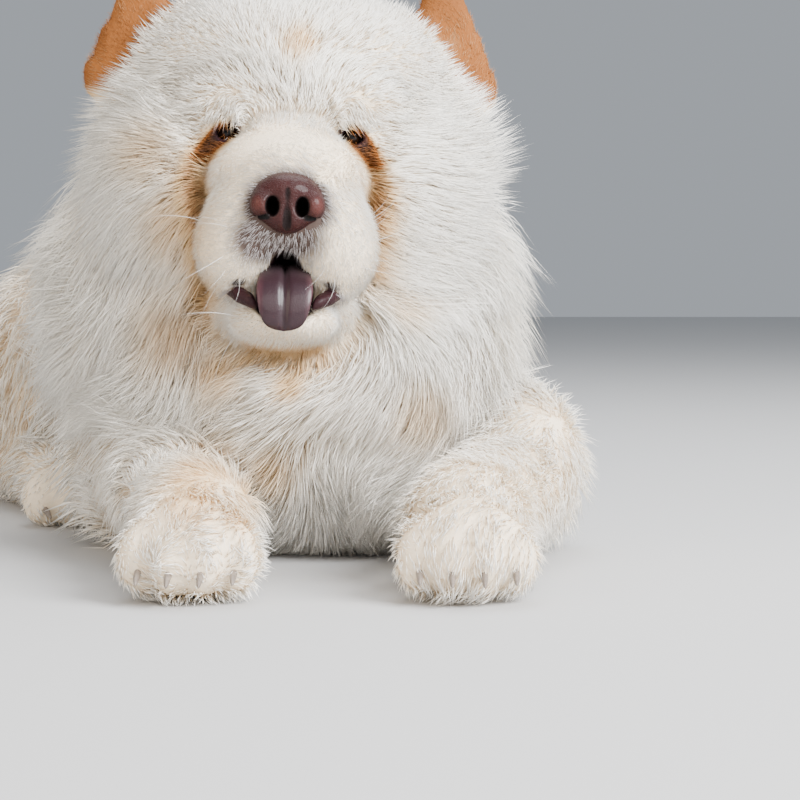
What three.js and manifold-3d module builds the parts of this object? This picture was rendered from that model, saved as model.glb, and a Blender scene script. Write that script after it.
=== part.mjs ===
// A chow chow lying down with its head up, life size, as closed solids that give the outline of its coat.
// Millimetres, +Z up. The dog faces -Y, its left side is +X, and the origin is on the floor under its chest.
import * as THREE from "three";
import { mergeVertices } from "three/addons/utils/BufferGeometryUtils.js";
import Module from "manifold-3d";

const wasm = await Module();
wasm.setup();
const radians = THREE.MathUtils.degToRad;

// Driving dimensions
const NOSE_WIDTH = 45; // across the nose leather
const MUZZLE_WIDTH = 114; // across the lips, with their short fur
const EYE_SPACING = 80; // centre to centre
const EYE_RADIUS = 11;
const HEAD_WIDTH = 268; // across the cheeks, with the coat
const HEAD_ROLL = radians(2); // the left side of the head is a little lower
const HEAD_YAW = radians(2.6); // the face is turned a little to the dog's left
const EAR_SPACING = 212; // between the middles of the two ears
const EAR_LENGTH = 84;
const CHEST_WIDTH = 344; // across the mane
const BACK_HEIGHT = 284; // of the coat over the loin
const PAW_WIDTH = 82;
const TOES = 4;
const CLAW_LENGTH = 19;
const TONGUE_WIDTH = 36;
const SPINE_TURN = radians(24); // the hindquarters lie this far to the dog's right
const GAP = 0.4; // kept between neighbouring solids

// How finely each piece's surface is drawn: the side of a grid cell
const STEP = { nose: 5.3, tongue: 7.2, ear: 11.5, face: 13.8, head: 27.5, foreleg: 26.5, hindPaw: 25, body: 39.5, tail: 29 };

// Landmarks, on the lying dog
const EYES = [-30, -150, 283]; // midway between the eyes
const CHEST = [-34, -50, 156];
const LOIN = [-72, 120, BACK_HEIGHT / 2];
const RUMP = [-146, 290, 140];
const ELBOW = [124, -84, 60];
const WRIST = [84, -262, 40];
const FOREPAW = [82, -322, 33];
const THIGH = [104, -10, 104]; // from the rump, along and across the turned spine
const HOCK = [126, 92, 34];
const HIND_PAW = [142, -168, 28];
const TAIL_ROOT = [-170, 388, 214];

// The coat's colours, and those of the bare parts
const CREAM = 0xe9e3d8;
const PALE = 0xf1eee8;
const TAN = 0xd08a45;
const LEATHER = 0x4a2f33;
const TONGUE_MAUVE = 0x59434f;
const EYE_BROWN = 0x1c120d;
const HORN = 0x5b4a3e;

// A field is a function of a point: negative inside the shape, and about the distance to its surface.
// An ellipsoid, turned about Z.
function ball([cx, cy, cz], [rx, ry, rz], turn = 0) {
  const cos = Math.cos(turn);
  const sin = Math.sin(turn);
  return (x, y, z) => {
    const u = (x - cx) * cos + (y - cy) * sin;
    const v = (y - cy) * cos - (x - cx) * sin;
    const w = z - cz;
    const reach = Math.hypot(u / rx, v / ry, w / rz);
    const slope = Math.hypot(u / rx ** 2, v / ry ** 2, w / rz ** 2);
    return slope > 0 ? (reach * (reach - 1)) / slope : -Math.min(rx, ry, rz);
  };
}

// A round limb along a smooth curve through the points, with a radius at each point.
function limb(points, radii, pieces = 8) {
  const curve = new THREE.CatmullRomCurve3(points.map((p) => new THREE.Vector3(...p)));
  const thickness = (t) => {
    const at = t * (radii.length - 1);
    const i = Math.min(Math.floor(at), radii.length - 2);
    return THREE.MathUtils.lerp(radii[i], radii[i + 1], at - i);
  };
  const joints = Array.from({ length: pieces + 1 }, (_, i) => curve.getPoint(i / pieces));
  return (x, y, z) => {
    let nearest = Infinity;
    for (let i = 0; i < pieces; i++) {
      const a = joints[i];
      const b = joints[i + 1];
      const [bx, by, bz] = [b.x - a.x, b.y - a.y, b.z - a.z];
      const [px, py, pz] = [x - a.x, y - a.y, z - a.z];
      const along = (px * bx + py * by + pz * bz) / (bx * bx + by * by + bz * bz);
      const t = THREE.MathUtils.clamp(along, 0, 1);
      const away = Math.hypot(px - t * bx, py - t * by, pz - t * bz);
      nearest = Math.min(nearest, away - thickness((i + t) / pieces));
    }
    return nearest;
  };
}

// The union of fields, with a fillet of about the given size where they meet.
function blend(size, ...fields) {
  return (x, y, z) => {
    let all = Infinity;
    for (const field of fields) {
      const one = field(x, y, z);
      const h = Math.max(size - Math.abs(all - one), 0) / size;
      all = Math.min(all, one) - (h * h * size) / 4;
    }
    return all;
  };
}

// The first field with the others taken out of it.
function carve(size, body, ...hollows) {
  const hollow = blend(size, ...hollows);
  return (x, y, z) => {
    const a = -body(x, y, z);
    const b = hollow(x, y, z);
    const h = Math.max(size - Math.abs(a - b), 0) / size;
    return -(Math.min(a, b) - (h * h * size) / 4);
  };
}

// A field that is squeezed along one axis about a centre, as a flat ear or tongue is.
function squeezed(field, centre, factors) {
  const least = Math.min(...factors);
  return (x, y, z) => {
    const [u, v, w] = [x, y, z].map((value, i) => centre[i] + (value - centre[i]) / factors[i]);
    return field(u, v, w) * least;
  };
}

// A field that is written in the head's own frame: its origin is midway between the eyes.
function onHead(field) {
  const [cosRoll, sinRoll] = [Math.cos(HEAD_ROLL), Math.sin(HEAD_ROLL)];
  const [cosYaw, sinYaw] = [Math.cos(HEAD_YAW), Math.sin(HEAD_YAW)];
  return (x, y, z) => {
    const [dx, dy, dz] = [x - EYES[0], y - EYES[1], z - EYES[2]];
    const across = dx * cosYaw + dy * sinYaw;
    return field(across * cosRoll - dz * sinRoll, dy * cosYaw - dx * sinYaw, dz * cosRoll + across * sinRoll);
  };
}

// A point of the head's own frame, in the frame of the whole dog.
function headPoint([x, y, z]) {
  const [cosYaw, sinYaw] = [Math.cos(HEAD_YAW), Math.sin(HEAD_YAW)];
  const across = x * Math.cos(HEAD_ROLL) + z * Math.sin(HEAD_ROLL);
  const rise = z * Math.cos(HEAD_ROLL) - x * Math.sin(HEAD_ROLL);
  return [EYES[0] + across * cosYaw - y * sinYaw, EYES[1] + across * sinYaw + y * cosYaw, EYES[2] + rise];
}

// A point given from the rump: across to the dog's left, back along the turned spine, and its height.
function fromRump([across, back, height]) {
  const cos = Math.cos(SPINE_TURN);
  const sin = Math.sin(SPINE_TURN);
  return [RUMP[0] + across * cos - back * sin, RUMP[1] + across * sin + back * cos, height];
}

const mirrored = ([x, y, z], side) => [x * side, y, z];

// Surface nets: one vertex in each cell that the surface crosses, pulled onto the surface, and a square
// round each grid edge that it crosses.
function polygonise(field, low, high, step) {
  const count = high.map((h, i) => Math.ceil((h - low[i]) / step) + 1);
  const stride = [1, count[0], count[0] * count[1]];
  const inBox = (x, y, z) =>
    Math.max(...[x, y, z].map((v, i) => Math.max(low[i] + step - v, v - high[i] + step)));
  const closed = (x, y, z) => Math.max(field(x, y, z), inBox(x, y, z));
  const values = new Float32Array(count[0] * count[1] * count[2]);
  const eachPoint = (limit, visit) => {
    for (let k = 0; k < count[2] - limit; k++)
      for (let j = 0; j < count[1] - limit; j++)
        for (let i = 0; i < count[0] - limit; i++) visit([i, j, k], i + j * stride[1] + k * stride[2]);
  };
  eachPoint(0, ([i, j, k], at) => {
    values[at] = closed(low[0] + i * step, low[1] + j * step, low[2] + k * step);
  });

  const corners = [0, 1, 2, 3, 4, 5, 6, 7].map((c) => [c & 1, (c >> 1) & 1, (c >> 2) & 1]);
  const edges = [];
  corners.forEach((c, a) => {
    for (let axis = 0; axis < 3; axis++) if (!c[axis]) edges.push([a, a + (1 << axis), axis]);
  });
  const offsets = corners.map((c) => c[0] + c[1] * stride[1] + c[2] * stride[2]);
  const vertexOf = new Int32Array(values.length).fill(-1);
  const positions = [];
  eachPoint(1, (cell, at) => {
    const sum = [0, 0, 0];
    let crossings = 0;
    for (const [a, b, axis] of edges) {
      const [va, vb] = [values[at + offsets[a]], values[at + offsets[b]]];
      if (va < 0 === vb < 0) continue;
      for (let i = 0; i < 3; i++) sum[i] += corners[a][i] + (i === axis ? va / (va - vb) : 0);
      crossings++;
    }
    if (!crossings) return;
    vertexOf[at] = positions.length / 3;
    positions.push(...pulled(closed, cell.map((c, i) => low[i] + (c + sum[i] / crossings) * step), step));
  });

  const index = [];
  eachPoint(1, (point, at) => {
    for (let axis = 0; axis < 3; axis++) {
      const [b, c] = [(axis + 1) % 3, (axis + 2) % 3];
      if (!point[b] || !point[c]) continue;
      const inside = values[at] < 0;
      if (inside === values[at + stride[axis]] < 0) continue;
      const round = [at, at - stride[b], at - stride[b] - stride[c], at - stride[c]].map((q) => vertexOf[q]);
      if (!inside) round.reverse();
      const far = (p, q) => Math.hypot(...[0, 1, 2].map((i) => positions[3 * p + i] - positions[3 * q + i]));
      const [p, q, r, s] = far(round[0], round[2]) < far(round[1], round[3]) ? round : [...round.slice(1), round[0]];
      index.push(p, q, r, p, r, s);
    }
  });
  return new THREE.BufferGeometry()
    .setAttribute("position", new THREE.Float32BufferAttribute(positions, 3))
    .setIndex(index);
}

// A point moved onto the surface of a field, by no more than half a step.
function pulled(field, point, step) {
  const h = step / 50;
  let p = point;
  for (let turn = 0; turn < 3; turn++) {
    const value = field(...p);
    const slope = [0, 1, 2].map((axis) => {
      const q = [...p];
      q[axis] += h;
      return (field(...q) - value) / h;
    });
    const steep = slope.reduce((sum, s) => sum + s * s, 0) || 1;
    p = p.map((v, i) => v - (value * slope[i]) / steep);
  }
  const away = Math.hypot(...p.map((v, i) => v - point[i]));
  const keep = Math.min(1, step / 2 / (away || 1));
  return point.map((v, i) => v + (p[i] - v) * keep);
}

// A geometry as a solid that can be cut. Its vertices are merged by their positions alone.
function solid(geometry) {
  const bare = geometry.clone();
  bare.deleteAttribute("normal");
  bare.deleteAttribute("uv");
  const merged = mergeVertices(bare, 1e-3);
  return new wasm.Manifold(
    new wasm.Mesh({
      numProp: 3,
      vertProperties: merged.attributes.position.array,
      triVerts: new Uint32Array(merged.index.array),
    }),
  );
}

function geometryOf(made) {
  const mesh = made.getMesh();
  const positions = new Float32Array(mesh.numVert * 3);
  for (let i = 0; i < mesh.numVert; i++)
    positions.set(mesh.vertProperties.subarray(i * mesh.numProp, i * mesh.numProp + 3), i * 3);
  return new THREE.BufferGeometry()
    .setAttribute("position", new THREE.BufferAttribute(positions, 3))
    .setIndex(new THREE.BufferAttribute(mesh.triVerts, 1));
}

// The same solid with its surface moved outwards by the gap, to cut room for it in a neighbour.
function grown(made) {
  const geometry = geometryOf(made);
  geometry.computeVertexNormals();
  const { position, normal } = geometry.attributes;
  for (let i = 0; i < position.count; i++)
    position.setXYZ(
      i,
      position.getX(i) + normal.getX(i) * GAP,
      position.getY(i) + normal.getY(i) * GAP,
      position.getZ(i) + normal.getZ(i) * GAP,
    );
  return solid(geometry);
}

const without = (made, ...others) => others.reduce((left, other) => left.subtract(grown(other)), made);

// The part of a solid on the side of a plane that the normal points to, half a gap clear of the plane.
function beyond(made, point, normal) {
  const n = new THREE.Vector3(...normal).normalize();
  return made.trimByPlane(n.toArray(), n.dot(new THREE.Vector3(...point)) + GAP / 2);
}

const onFloor = (made) => made.trimByPlane([0, 0, 1], 0);

// A box that a part of a limb is cut out with: its middle, its size, and its turn about Z.
function block(middle, size, turn = 0, spare = 0) {
  const geometry = new THREE.BoxGeometry(...size.map((s) => s + spare));
  geometry.rotateZ(turn).translate(...middle);
  return solid(geometry);
}

// The biggest body of a solid: a cut can leave crumbs behind.
function whole(made) {
  return made.decompose().sort((a, b) => b.volume() - a.volume())[0];
}

// The head's coat: a broad skull, cheeks that carry the ruff, a brow, and a short deep muzzle.
function headField() {
  const half = HEAD_WIDTH / 2;
  return onHead(
    blend(
      30,
      ball([0, 84, 12], [half - 6, 96, 94]),
      ball([0, 62, 60], [half - 44, 78, 48]),
      ...[1, -1].map((side) => ball([side * (half - 66), 52, -28], [64, 66, 78])),
      ball([0, 4, 24], [62, 30, 30]),
    ),
  );
}

// The upper muzzle: a blunt block with a cushion of lip on each side.
function muzzleField() {
  const half = MUZZLE_WIDTH / 2;
  return onHead(
    blend(
      18,
      ball([0, -22, -36], [half - 6, 52, 38]),
      ball([0, -52, -52], [half - 12, 34, 30]),
      ...[1, -1].map((side) => ball([side * (half - 27), -40, -74], [29, 40, 36])),
    ),
  );
}

function jawField() {
  return onHead(blend(14, ball([0, -42, -122], [38, 36, 21]), ball([0, -4, -112], [46, 46, 30])));
}

// The open mouth: an arch under the lips, as deep as the tongue lies.
function mouthField() {
  return onHead(
    blend(8, ball([0, -66, -98], [27, 30, 17]), ball([0, -30, -100], [38, 44, 12]), ball([0, -70, -88], [14, 26, 10])),
  );
}

// The mane, which stands out round the neck and hangs down the chest.
function maneField() {
  const half = CHEST_WIDTH / 2;
  return blend(
    50,
    ball(CHEST, [half, 130, 160]),
    ball([-38, -62, 238], [half - 14, 122, 106]),
    ball([-48, -4, 262], [half - 26, 96, 88]),
    ball([-14, -104, 104], [half - 48, 84, 98]),
    ball([-8, -30, 62], [96, 84, 74]),
  );
}

// The trunk behind the mane, turned to the dog's right, with the fringe behind its right elbow.
function trunkField() {
  return blend(
    60,
    ball([-64, 40, 160], [172, 150, 150], SPINE_TURN / 2),
    ball([-148, -66, 62], [60, 62, 66]),
    ball(LOIN, [146, 190, BACK_HEIGHT / 2], SPINE_TURN),
    ball(RUMP, [148, 140, 139], SPINE_TURN),
  );
}

function forelegField(side) {
  const at = (point) => mirrored(point, side);
  return blend(
    26,
    ball(at([ELBOW[0] - 8, ELBOW[1] + 4, ELBOW[2]]), [58, 80, 70]),
    limb([at(ELBOW), at([104, -180, 46]), at(WRIST)], [52, 45, 39]),
    limb([at(WRIST), at(FOREPAW)], [39, 36], 2),
    pawField(at(FOREPAW), 0),
  );
}

// A paw: four rounded toes side by side, the middle two further forward.
function toePoints(paw, turn) {
  const pitch = PAW_WIDTH / (TOES + 0.4);
  return Array.from({ length: TOES }, (_, i) => {
    const across = (i - (TOES - 1) / 2) * pitch;
    const ahead = 26 - (across / pitch) ** 2 * 5;
    const [cos, sin] = [Math.cos(turn), Math.sin(turn)];
    return [paw[0] + across * cos + ahead * sin, paw[1] + across * sin - ahead * cos, paw[2] - 8];
  });
}

function pawField(paw, turn) {
  return blend(12, ...toePoints(paw, turn).map((toe) => ball(toe, [14.5, 21, 21], turn)));
}

function hindlegField(side) {
  const at = ([across, back, height]) => fromRump([across * side, back, height]);
  return blend(
    30,
    ball(at(THIGH), [64, 128, 108], SPINE_TURN),
    limb([at(HOCK), at([130, -30, 30]), at(HIND_PAW)], [38, 34, 31]),
    pawField(at(HIND_PAW), SPINE_TURN),
  );
}

// The tail: carried over the back, with a plume all along it.
function tailField() {
  return limb(
    [
      TAIL_ROOT,
      [-172, 404, 276],
      [-150, 352, 326],
      [-122, 270, 330],
      [-104, 196, 306],
    ],
    [34, 42, 52, 54, 30],
    10,
  );
}

// An ear: a thick triangle with a rounded tip and a shallow cup in front.
function earField(side) {
  const root = [side * (EAR_SPACING / 2 + 4), 66, 40];
  const tip = [side * (EAR_SPACING / 2 - 6), 60, 40 + EAR_LENGTH - 16];
  const plate = squeezed(limb([root, tip], [36, 17], 3), root, [1, 0.42, 1]);
  const cup = ball([side * (EAR_SPACING / 2), 46, 74], [20, 11, 34]);
  return onHead(carve(6, plate, cup));
}

function noseField() {
  const half = NOSE_WIDTH / 2;
  const leather = blend(
    9,
    ball([0, -74, -42], [half - 2, 17, 14]),
    ...[1, -1].map((side) => ball([side * (half - 9), -76, -49], [9.5, 13, 10])),
    ball([0, -80, -56], [9, 12, 14]),
  );
  const nostrils = [1, -1].map((side) => ball([side * 8, -92, -50], [4, 9, 5.5]));
  return onHead(carve(3, leather, ...nostrils));
}

// The tongue lies in the lower jaw and hangs over the lip.
function tongueField() {
  const half = TONGUE_WIDTH / 2;
  return onHead(
    blend(
      6,
      ball([0, -36, -99], [half, 28, 7]),
      ball([0, -66, -102], [half, 20, 7]),
      ball([0, -84, -108], [half - 1, 8, 21]),
    ),
  );
}

const headFlesh = blend(16, headField(), muzzleField(), jawField());
const bodyFlesh = blend(40, maneField(), trunkField(), ...[1, -1].flatMap((side) => [forelegField(side), hindlegField(side)]));
const coat = carve(8, blend(34, headFlesh, bodyFlesh), mouthField());

// The planes that part the head from the neck, the muzzle from the head, and so on back to the rump.
const NAPE = { point: [-30, -70, 250], normal: [0, -0.66, 0.75] };
const STOP = { point: headPoint([0, -36, 0]), normal: [0, -1, 0] };
const LIPS = { point: headPoint([0, -60, -100]), normal: [0, -0.1, 1] };
const THROAT = { point: [-30, -60, 196], normal: [0, -0.25, 0.97] };
const RIBS = { point: [-40, 24, 150], normal: [-Math.sin(SPINE_TURN / 2), Math.cos(SPINE_TURN / 2), 0] };
const FLANK = { point: [-108, 190, 150], normal: [-Math.sin(SPINE_TURN), Math.cos(SPINE_TURN), 0] };
const before = (plane) => [plane.point, plane.normal.map((n) => -n)];
const after = (plane) => [plane.point, plane.normal];

const group = new THREE.Group();

function show(name, made, colour, roughness = 0.9) {
  const material = new THREE.MeshStandardMaterial({ color: colour, roughness, metalness: 0 });
  const mesh = new THREE.Mesh(geometryOf(made), material);
  mesh.name = name;
  group.add(mesh);
}

// The bare parts, made first so that the coat can be cut round them
const detail = (field, low, high, step) =>
  solid(polygonise(field, headPoint(low), headPoint(high), step));
const nose = detail(noseField(), [-30, -98, -80], [30, -48, -20], STEP.nose);
const tongue = detail(tongueField(), [-28, -100, -140], [28, 16, -80], STEP.tongue);
const eyes = [1, -1].map((side) => {
  const geometry = new THREE.SphereGeometry(EYE_RADIUS, 12, 8);
  return solid(geometry.translate(...headPoint([(side * EYE_SPACING) / 2, 0, 0])));
});

// The pit that an eye looks out of, through the depth of the coat
function eyePit(side) {
  const geometry = new THREE.SphereGeometry(1, 12, 8);
  return solid(geometry.scale(12, 34, 10).translate(...headPoint([(side * (EYE_SPACING + 3)) / 2, -26, -1])));
}

// A claw: a horn that curves down from the front of a toe.
function claw([x, y, z], turn) {
  const profile = [];
  const rings = 3;
  for (let i = 0; i <= rings; i++) {
    const t = i / rings;
    profile.push(new THREE.Vector2(3.4 * Math.sqrt(1 - t * t), t * CLAW_LENGTH));
  }
  const geometry = new THREE.LatheGeometry([new THREE.Vector2(0, 0), ...profile], 5);
  geometry.rotateX(radians(-150)).rotateZ(turn);
  const [ahead, up] = [15, -2];
  return solid(geometry.translate(x + ahead * Math.sin(turn), y - ahead * Math.cos(turn), z + up));
}

const sides = { left: 1, right: -1 };
const claws = {};
for (const [name, side] of Object.entries(sides)) {
  claws[`forepaw_${name}`] = toePoints(mirrored(FOREPAW, side), 0).map((toe) => claw(toe, 0));
  const hind = fromRump([HIND_PAW[0] * side, HIND_PAW[1], HIND_PAW[2]]);
  claws[`hindpaw_${name}`] = toePoints(hind, SPINE_TURN).map((toe) => claw(toe, SPINE_TURN));
}

// The head, in four pieces
const fineHead = beyond(solid(polygonise(coat, [-200, -250, 120], [140, 60, 440], STEP.head)), ...after(NAPE));
const face = beyond(solid(polygonise(coat, [-110, -252, 120], [50, -150, 300], STEP.face)), ...after(STOP));
const pits = [1, -1].map((side) => eyePit(side));
const skull = pits.reduce((left, pit) => left.subtract(pit), whole(beyond(fineHead, ...before(STOP))));
const head = without(skull, ...eyes, tongue);
const muzzle = without(whole(beyond(face, ...after(LIPS))), nose, tongue);
const jaw = without(whole(beyond(beyond(face, ...before(LIPS)), ...after(NAPE))), tongue);
show("head", whole(head), CREAM);
show("muzzle", whole(muzzle), PALE);
show("lower_jaw", whole(jaw), PALE);
show("nose", nose, LEATHER, 0.35);
show("tongue", tongue, TONGUE_MAUVE, 0.3);
Object.keys(sides).forEach((name, i) => {
  show(`eye_${name}`, eyes[i], EYE_BROWN, 0.1);
  const side = sides[name];
  const [low, high] = [
    [side * 104 - 60, 20, -10],
    [side * 104 + 60, 110, 150],
  ];
  show(`ear_${name}`, whole(without(detail(earField(side), low, high, STEP.ear), head)), TAN);
});

// The legs, each cut out of the body with blocks
const elbowCut = (side) => [[side * 100, -280, 40], [124, 240, 150]];
const wristCut = { point: [0, -272, 0], normal: [0, -1, 0] };
const thighCut = (side) => [fromRump([side * 150, -6, 104]), [104, 300, 260], SPINE_TURN];
const hockCut = (side) => [fromRump([side * 146, -176, 40]), [112, 110, 120], SPINE_TURN];
const cutters = [];
for (const [name, side] of Object.entries(sides)) {
  const foreleg = onFloor(
    solid(polygonise(coat, [side * 90 - 100, -420, -1.5 * STEP.foreleg], [side * 90 + 100, -140, 140], STEP.foreleg)),
  ).intersect(block(...elbowCut(side)));
  show(`foreleg_${name}`, whole(beyond(foreleg, ...before(wristCut))), PALE);
  const forepaw = whole(without(beyond(foreleg, ...after(wristCut)), ...claws[`forepaw_${name}`]));
  show(`forepaw_${name}`, forepaw, PALE);

  const [low, high] = [
    [RUMP[0] - 260, RUMP[1] - 300, -1.5 * STEP.body],
    [RUMP[0] + 260, RUMP[1] + 220, 260],
  ];
  const hind = onFloor(solid(polygonise(coat, low, high, STEP.body)));
  const thighBlock = block(...thighCut(side));
  const pawBlock = block(...hockCut(side));
  show(`thigh_${name}`, whole(hind.intersect(thighBlock).subtract(block(...hockCut(side), GAP))), CREAM);
  const nearFoot = onFloor(solid(polygonise(coat, ...aroundHindPaw(side), STEP.hindPaw)));
  const hindpaw = whole(without(nearFoot.intersect(pawBlock), ...claws[`hindpaw_${name}`]));
  show(`hindpaw_${name}`, hindpaw, PALE);
  cutters.push(
    block(...elbowCut(side), 0, GAP),
    block(...thighCut(side), GAP),
    block(...hockCut(side), GAP),
  );
}

function aroundHindPaw(side) {
  const [x, y] = fromRump([side * HIND_PAW[0], HIND_PAW[1], 0]);
  return [
    [x - 110, y - 110, -1.5 * STEP.hindPaw],
    [x + 110, y + 110, 110],
  ];
}

for (const [paw, horns] of Object.entries(claws))
  horns.forEach((horn, i) => show(`claw_${paw}_${i + 1}`, horn, HORN, 0.5));

// The body behind the head, in four pieces from one coarser surface
const body = cutters.reduce(
  (left, cutter) => left.subtract(cutter),
  onFloor(beyond(solid(polygonise(coat, [-350, -240, -1.5 * STEP.body], [240, 480, 420], STEP.body)), ...before(NAPE))),
);
const front = beyond(body, ...before(RIBS));
show("neck", whole(beyond(front, ...after(THROAT))), CREAM);
show("chest", whole(beyond(front, ...before(THROAT))), CREAM);
const trunk = whole(beyond(beyond(body, ...after(RIBS)), ...before(FLANK)));
const rump = whole(beyond(body, ...after(FLANK)));
show("trunk", trunk, CREAM);
show("rump", rump, CREAM);
const tail = without(solid(polygonise(tailField(), [-260, 120, 150], [-20, 480, 410], STEP.tail)), trunk, rump);
show("tail", whole(tail), CREAM);

export default group;
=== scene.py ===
# %% [markdown]
# # A chow chow, lying down
#
# This script dresses a packed set of solids as a cream chow chow, life size. The solids give the outline
# of its coat. Here a single skin is shaped under that outline, and tufts of hair are grown from the skin
# until their tips reach it.

# %% The fixed frame
import math

import bpy
import numpy as np
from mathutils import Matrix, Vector, kdtree


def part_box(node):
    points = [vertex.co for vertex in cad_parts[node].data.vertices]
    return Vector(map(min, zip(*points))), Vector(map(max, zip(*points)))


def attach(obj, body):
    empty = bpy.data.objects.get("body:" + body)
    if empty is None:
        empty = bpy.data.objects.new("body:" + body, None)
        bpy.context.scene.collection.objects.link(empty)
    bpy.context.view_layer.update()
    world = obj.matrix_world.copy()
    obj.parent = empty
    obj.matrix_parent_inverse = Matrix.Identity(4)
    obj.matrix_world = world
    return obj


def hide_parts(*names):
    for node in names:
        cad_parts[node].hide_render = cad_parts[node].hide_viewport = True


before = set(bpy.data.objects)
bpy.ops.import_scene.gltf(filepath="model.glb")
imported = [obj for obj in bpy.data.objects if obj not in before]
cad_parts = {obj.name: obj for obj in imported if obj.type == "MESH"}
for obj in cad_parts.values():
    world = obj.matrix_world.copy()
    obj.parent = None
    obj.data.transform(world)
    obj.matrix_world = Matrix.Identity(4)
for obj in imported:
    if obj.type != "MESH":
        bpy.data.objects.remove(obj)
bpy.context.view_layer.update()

MM = 0.001  # the anatomy is drawn in millimetres, and scaled to metres as each mesh is made
SEED = 11

# %% [markdown]
# ## Shapes as fields
#
# An animal has no flat faces. Its masses could be sculpted by hand or built as metaballs. Here each one is
# a field, a function that is negative inside the shape and grows with the distance from it, because fields
# blend with a fillet, as muscle runs into muscle, and because a field also says how deep under a surface a
# point lies. Points are rows of an array, so one call measures many of them.


# %% Masses and limbs
def ball(centre, radii, turn=0.0):
    """An ellipsoid, turned about Z."""
    cos, sin = math.cos(turn), math.sin(turn)
    rx, ry, rz = radii

    def field(p):
        x, y, z = (p[:, i] - centre[i] for i in range(3))
        u = (x * cos + y * sin) / rx
        v = (y * cos - x * sin) / ry
        w = z / rz
        reach = np.sqrt(u * u + v * v + w * w)
        slope = np.sqrt((u / rx) ** 2 + (v / ry) ** 2 + (w / rz) ** 2)
        return np.where(slope > 1e-7, reach * (reach - 1) / np.maximum(slope, 1e-7), -min(radii))

    return field


def curve_through(points, count):
    """Points along a smooth curve through the given ones."""
    given = np.asarray(points, float)
    padded = np.vstack([2 * given[0] - given[1], given, 2 * given[-1] - given[-2]])
    at = np.linspace(0, len(given) - 1, count)
    i = np.minimum(at.astype(int), len(given) - 2)
    t = (at - i)[:, None]
    a, b, c, d = (padded[i + k] for k in range(4))
    return 0.5 * (2 * b + (c - a) * t + (2 * a - 5 * b + 4 * c - d) * t**2 + (3 * b - a - 3 * c + d) * t**3)


def limb(points, radii, pieces=8):
    """A round limb along a curve, with a radius at each point."""
    joints = curve_through(points, pieces + 1)
    thick = np.interp(np.linspace(0, 1, pieces + 1), np.linspace(0, 1, len(radii)), radii)

    def field(p):
        nearest = np.full(len(p), np.inf, p.dtype)
        for a, b, ra, rb in zip(joints[:-1], joints[1:], thick[:-1], thick[1:]):
            along = b - a
            off = [p[:, i] - a[i] for i in range(3)]
            t = sum(off[i] * along[i] for i in range(3)) / (along @ along)
            t = np.clip(t, 0, 1)
            away = np.sqrt(sum((off[i] - t * along[i]) ** 2 for i in range(3)))
            nearest = np.minimum(nearest, away - (ra + (rb - ra) * t))
        return nearest

    return field


# %% Blending fields
def soft_min(a, b, size):
    """The smaller of two values, rounded off where they are near each other."""
    h = np.maximum(size - np.abs(a - b), 0) / size
    return np.minimum(a, b) - h * h * size / 4


def blend(size, *fields):
    """The union of fields, with a fillet of about that size."""

    def field(p):
        total = fields[0](p)
        for other in fields[1:]:
            total = soft_min(total, other(p), size)
        return total

    return field


def carve(size, body, *hollows):
    """The first field with the others taken out of it."""
    hollow = blend(size, *hollows)
    return lambda p: -soft_min(-body(p), hollow(p), size)


def fade(value, start, end):
    """0 before start, 1 after end, smooth between."""
    t = np.clip((value - start) / (end - start), 0, 1)
    return t * t * (3 - 2 * t)


def squeezed(field, centre, factors):
    """A field that is flattened about a centre."""
    centre, factors = np.array(centre, np.float32), np.array(factors, np.float32)
    return lambda p: field(centre + (p - centre) / factors) * factors.min()


# %% [markdown]
# ## Landmarks
#
# The head has its own frame, whose origin is midway between the eyes. It is taken from the eyes of the
# solids, so the face goes where they say. The spine turns to the dog's right behind the mane.

# %% Landmarks of the lying dog
eye_middles = [sum(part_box(f"eye_{side}"), Vector()) / 2 / MM for side in ("left", "right")]
EYES = np.array(sum(eye_middles, Vector()) / 2)
across_eyes = np.array(eye_middles[0] - eye_middles[1])
EYE_SPACING = float(np.linalg.norm(across_eyes))
HEAD_ROLL = math.asin(-across_eyes[2] / EYE_SPACING)
HEAD_YAW = math.atan2(across_eyes[1], across_eyes[0])
EYE_RADIUS = 11.0
SPINE_TURN = math.radians(24)
HEAD_HALF = 134.0
MUZZLE_HALF = 57.0
BACK_HEIGHT = 284.0
PAW_WIDTH = 82.0
TOES = 4

CHEST = (-34, -50, 156)
LOIN = (-72, 120, BACK_HEIGHT / 2)
RUMP = (-146, 290, 140)
ELBOW = (124, -84, 60)
WRIST = (84, -262, 40)
FOREPAW = (82, -322, 33)
FOREARM = (104, -180, 46)
THIGH = (104, -10, 104)
HOCK = (126, 92, 34)
SHIN = (130, -30, 30)
HIND_PAW = (142, -168, 28)
TAIL_LINE = ((-170, 388, 214), (-172, 404, 276), (-150, 352, 326), (-122, 270, 330), (-104, 196, 306))

SPINE_WAY = np.array((-math.sin(SPINE_TURN), math.cos(SPINE_TURN), 0))
cos_roll, sin_roll = math.cos(HEAD_ROLL), math.sin(HEAD_ROLL)
cos_yaw, sin_yaw = math.cos(HEAD_YAW), math.sin(HEAD_YAW)
roll = np.array([[cos_roll, 0, sin_roll], [0, 1, 0], [-sin_roll, 0, cos_roll]])
yaw = np.array([[cos_yaw, -sin_yaw, 0], [sin_yaw, cos_yaw, 0], [0, 0, 1]])
HEAD_TURN = yaw @ roll


def to_head(p):
    return ((p - EYES) @ HEAD_TURN).astype(np.float32)


def from_head(p):
    return np.asarray(p, float) @ HEAD_TURN.T + EYES


def from_rump(place):
    """A point given across to the dog's left, back along the turned spine, and by its height."""
    across, back, height = place
    cos, sin = math.cos(SPINE_TURN), math.sin(SPINE_TURN)
    return (RUMP[0] + across * cos - back * sin, RUMP[1] + across * sin + back * cos, height)


def sided(place, side):
    return (place[0] * side, place[1], place[2])


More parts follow.
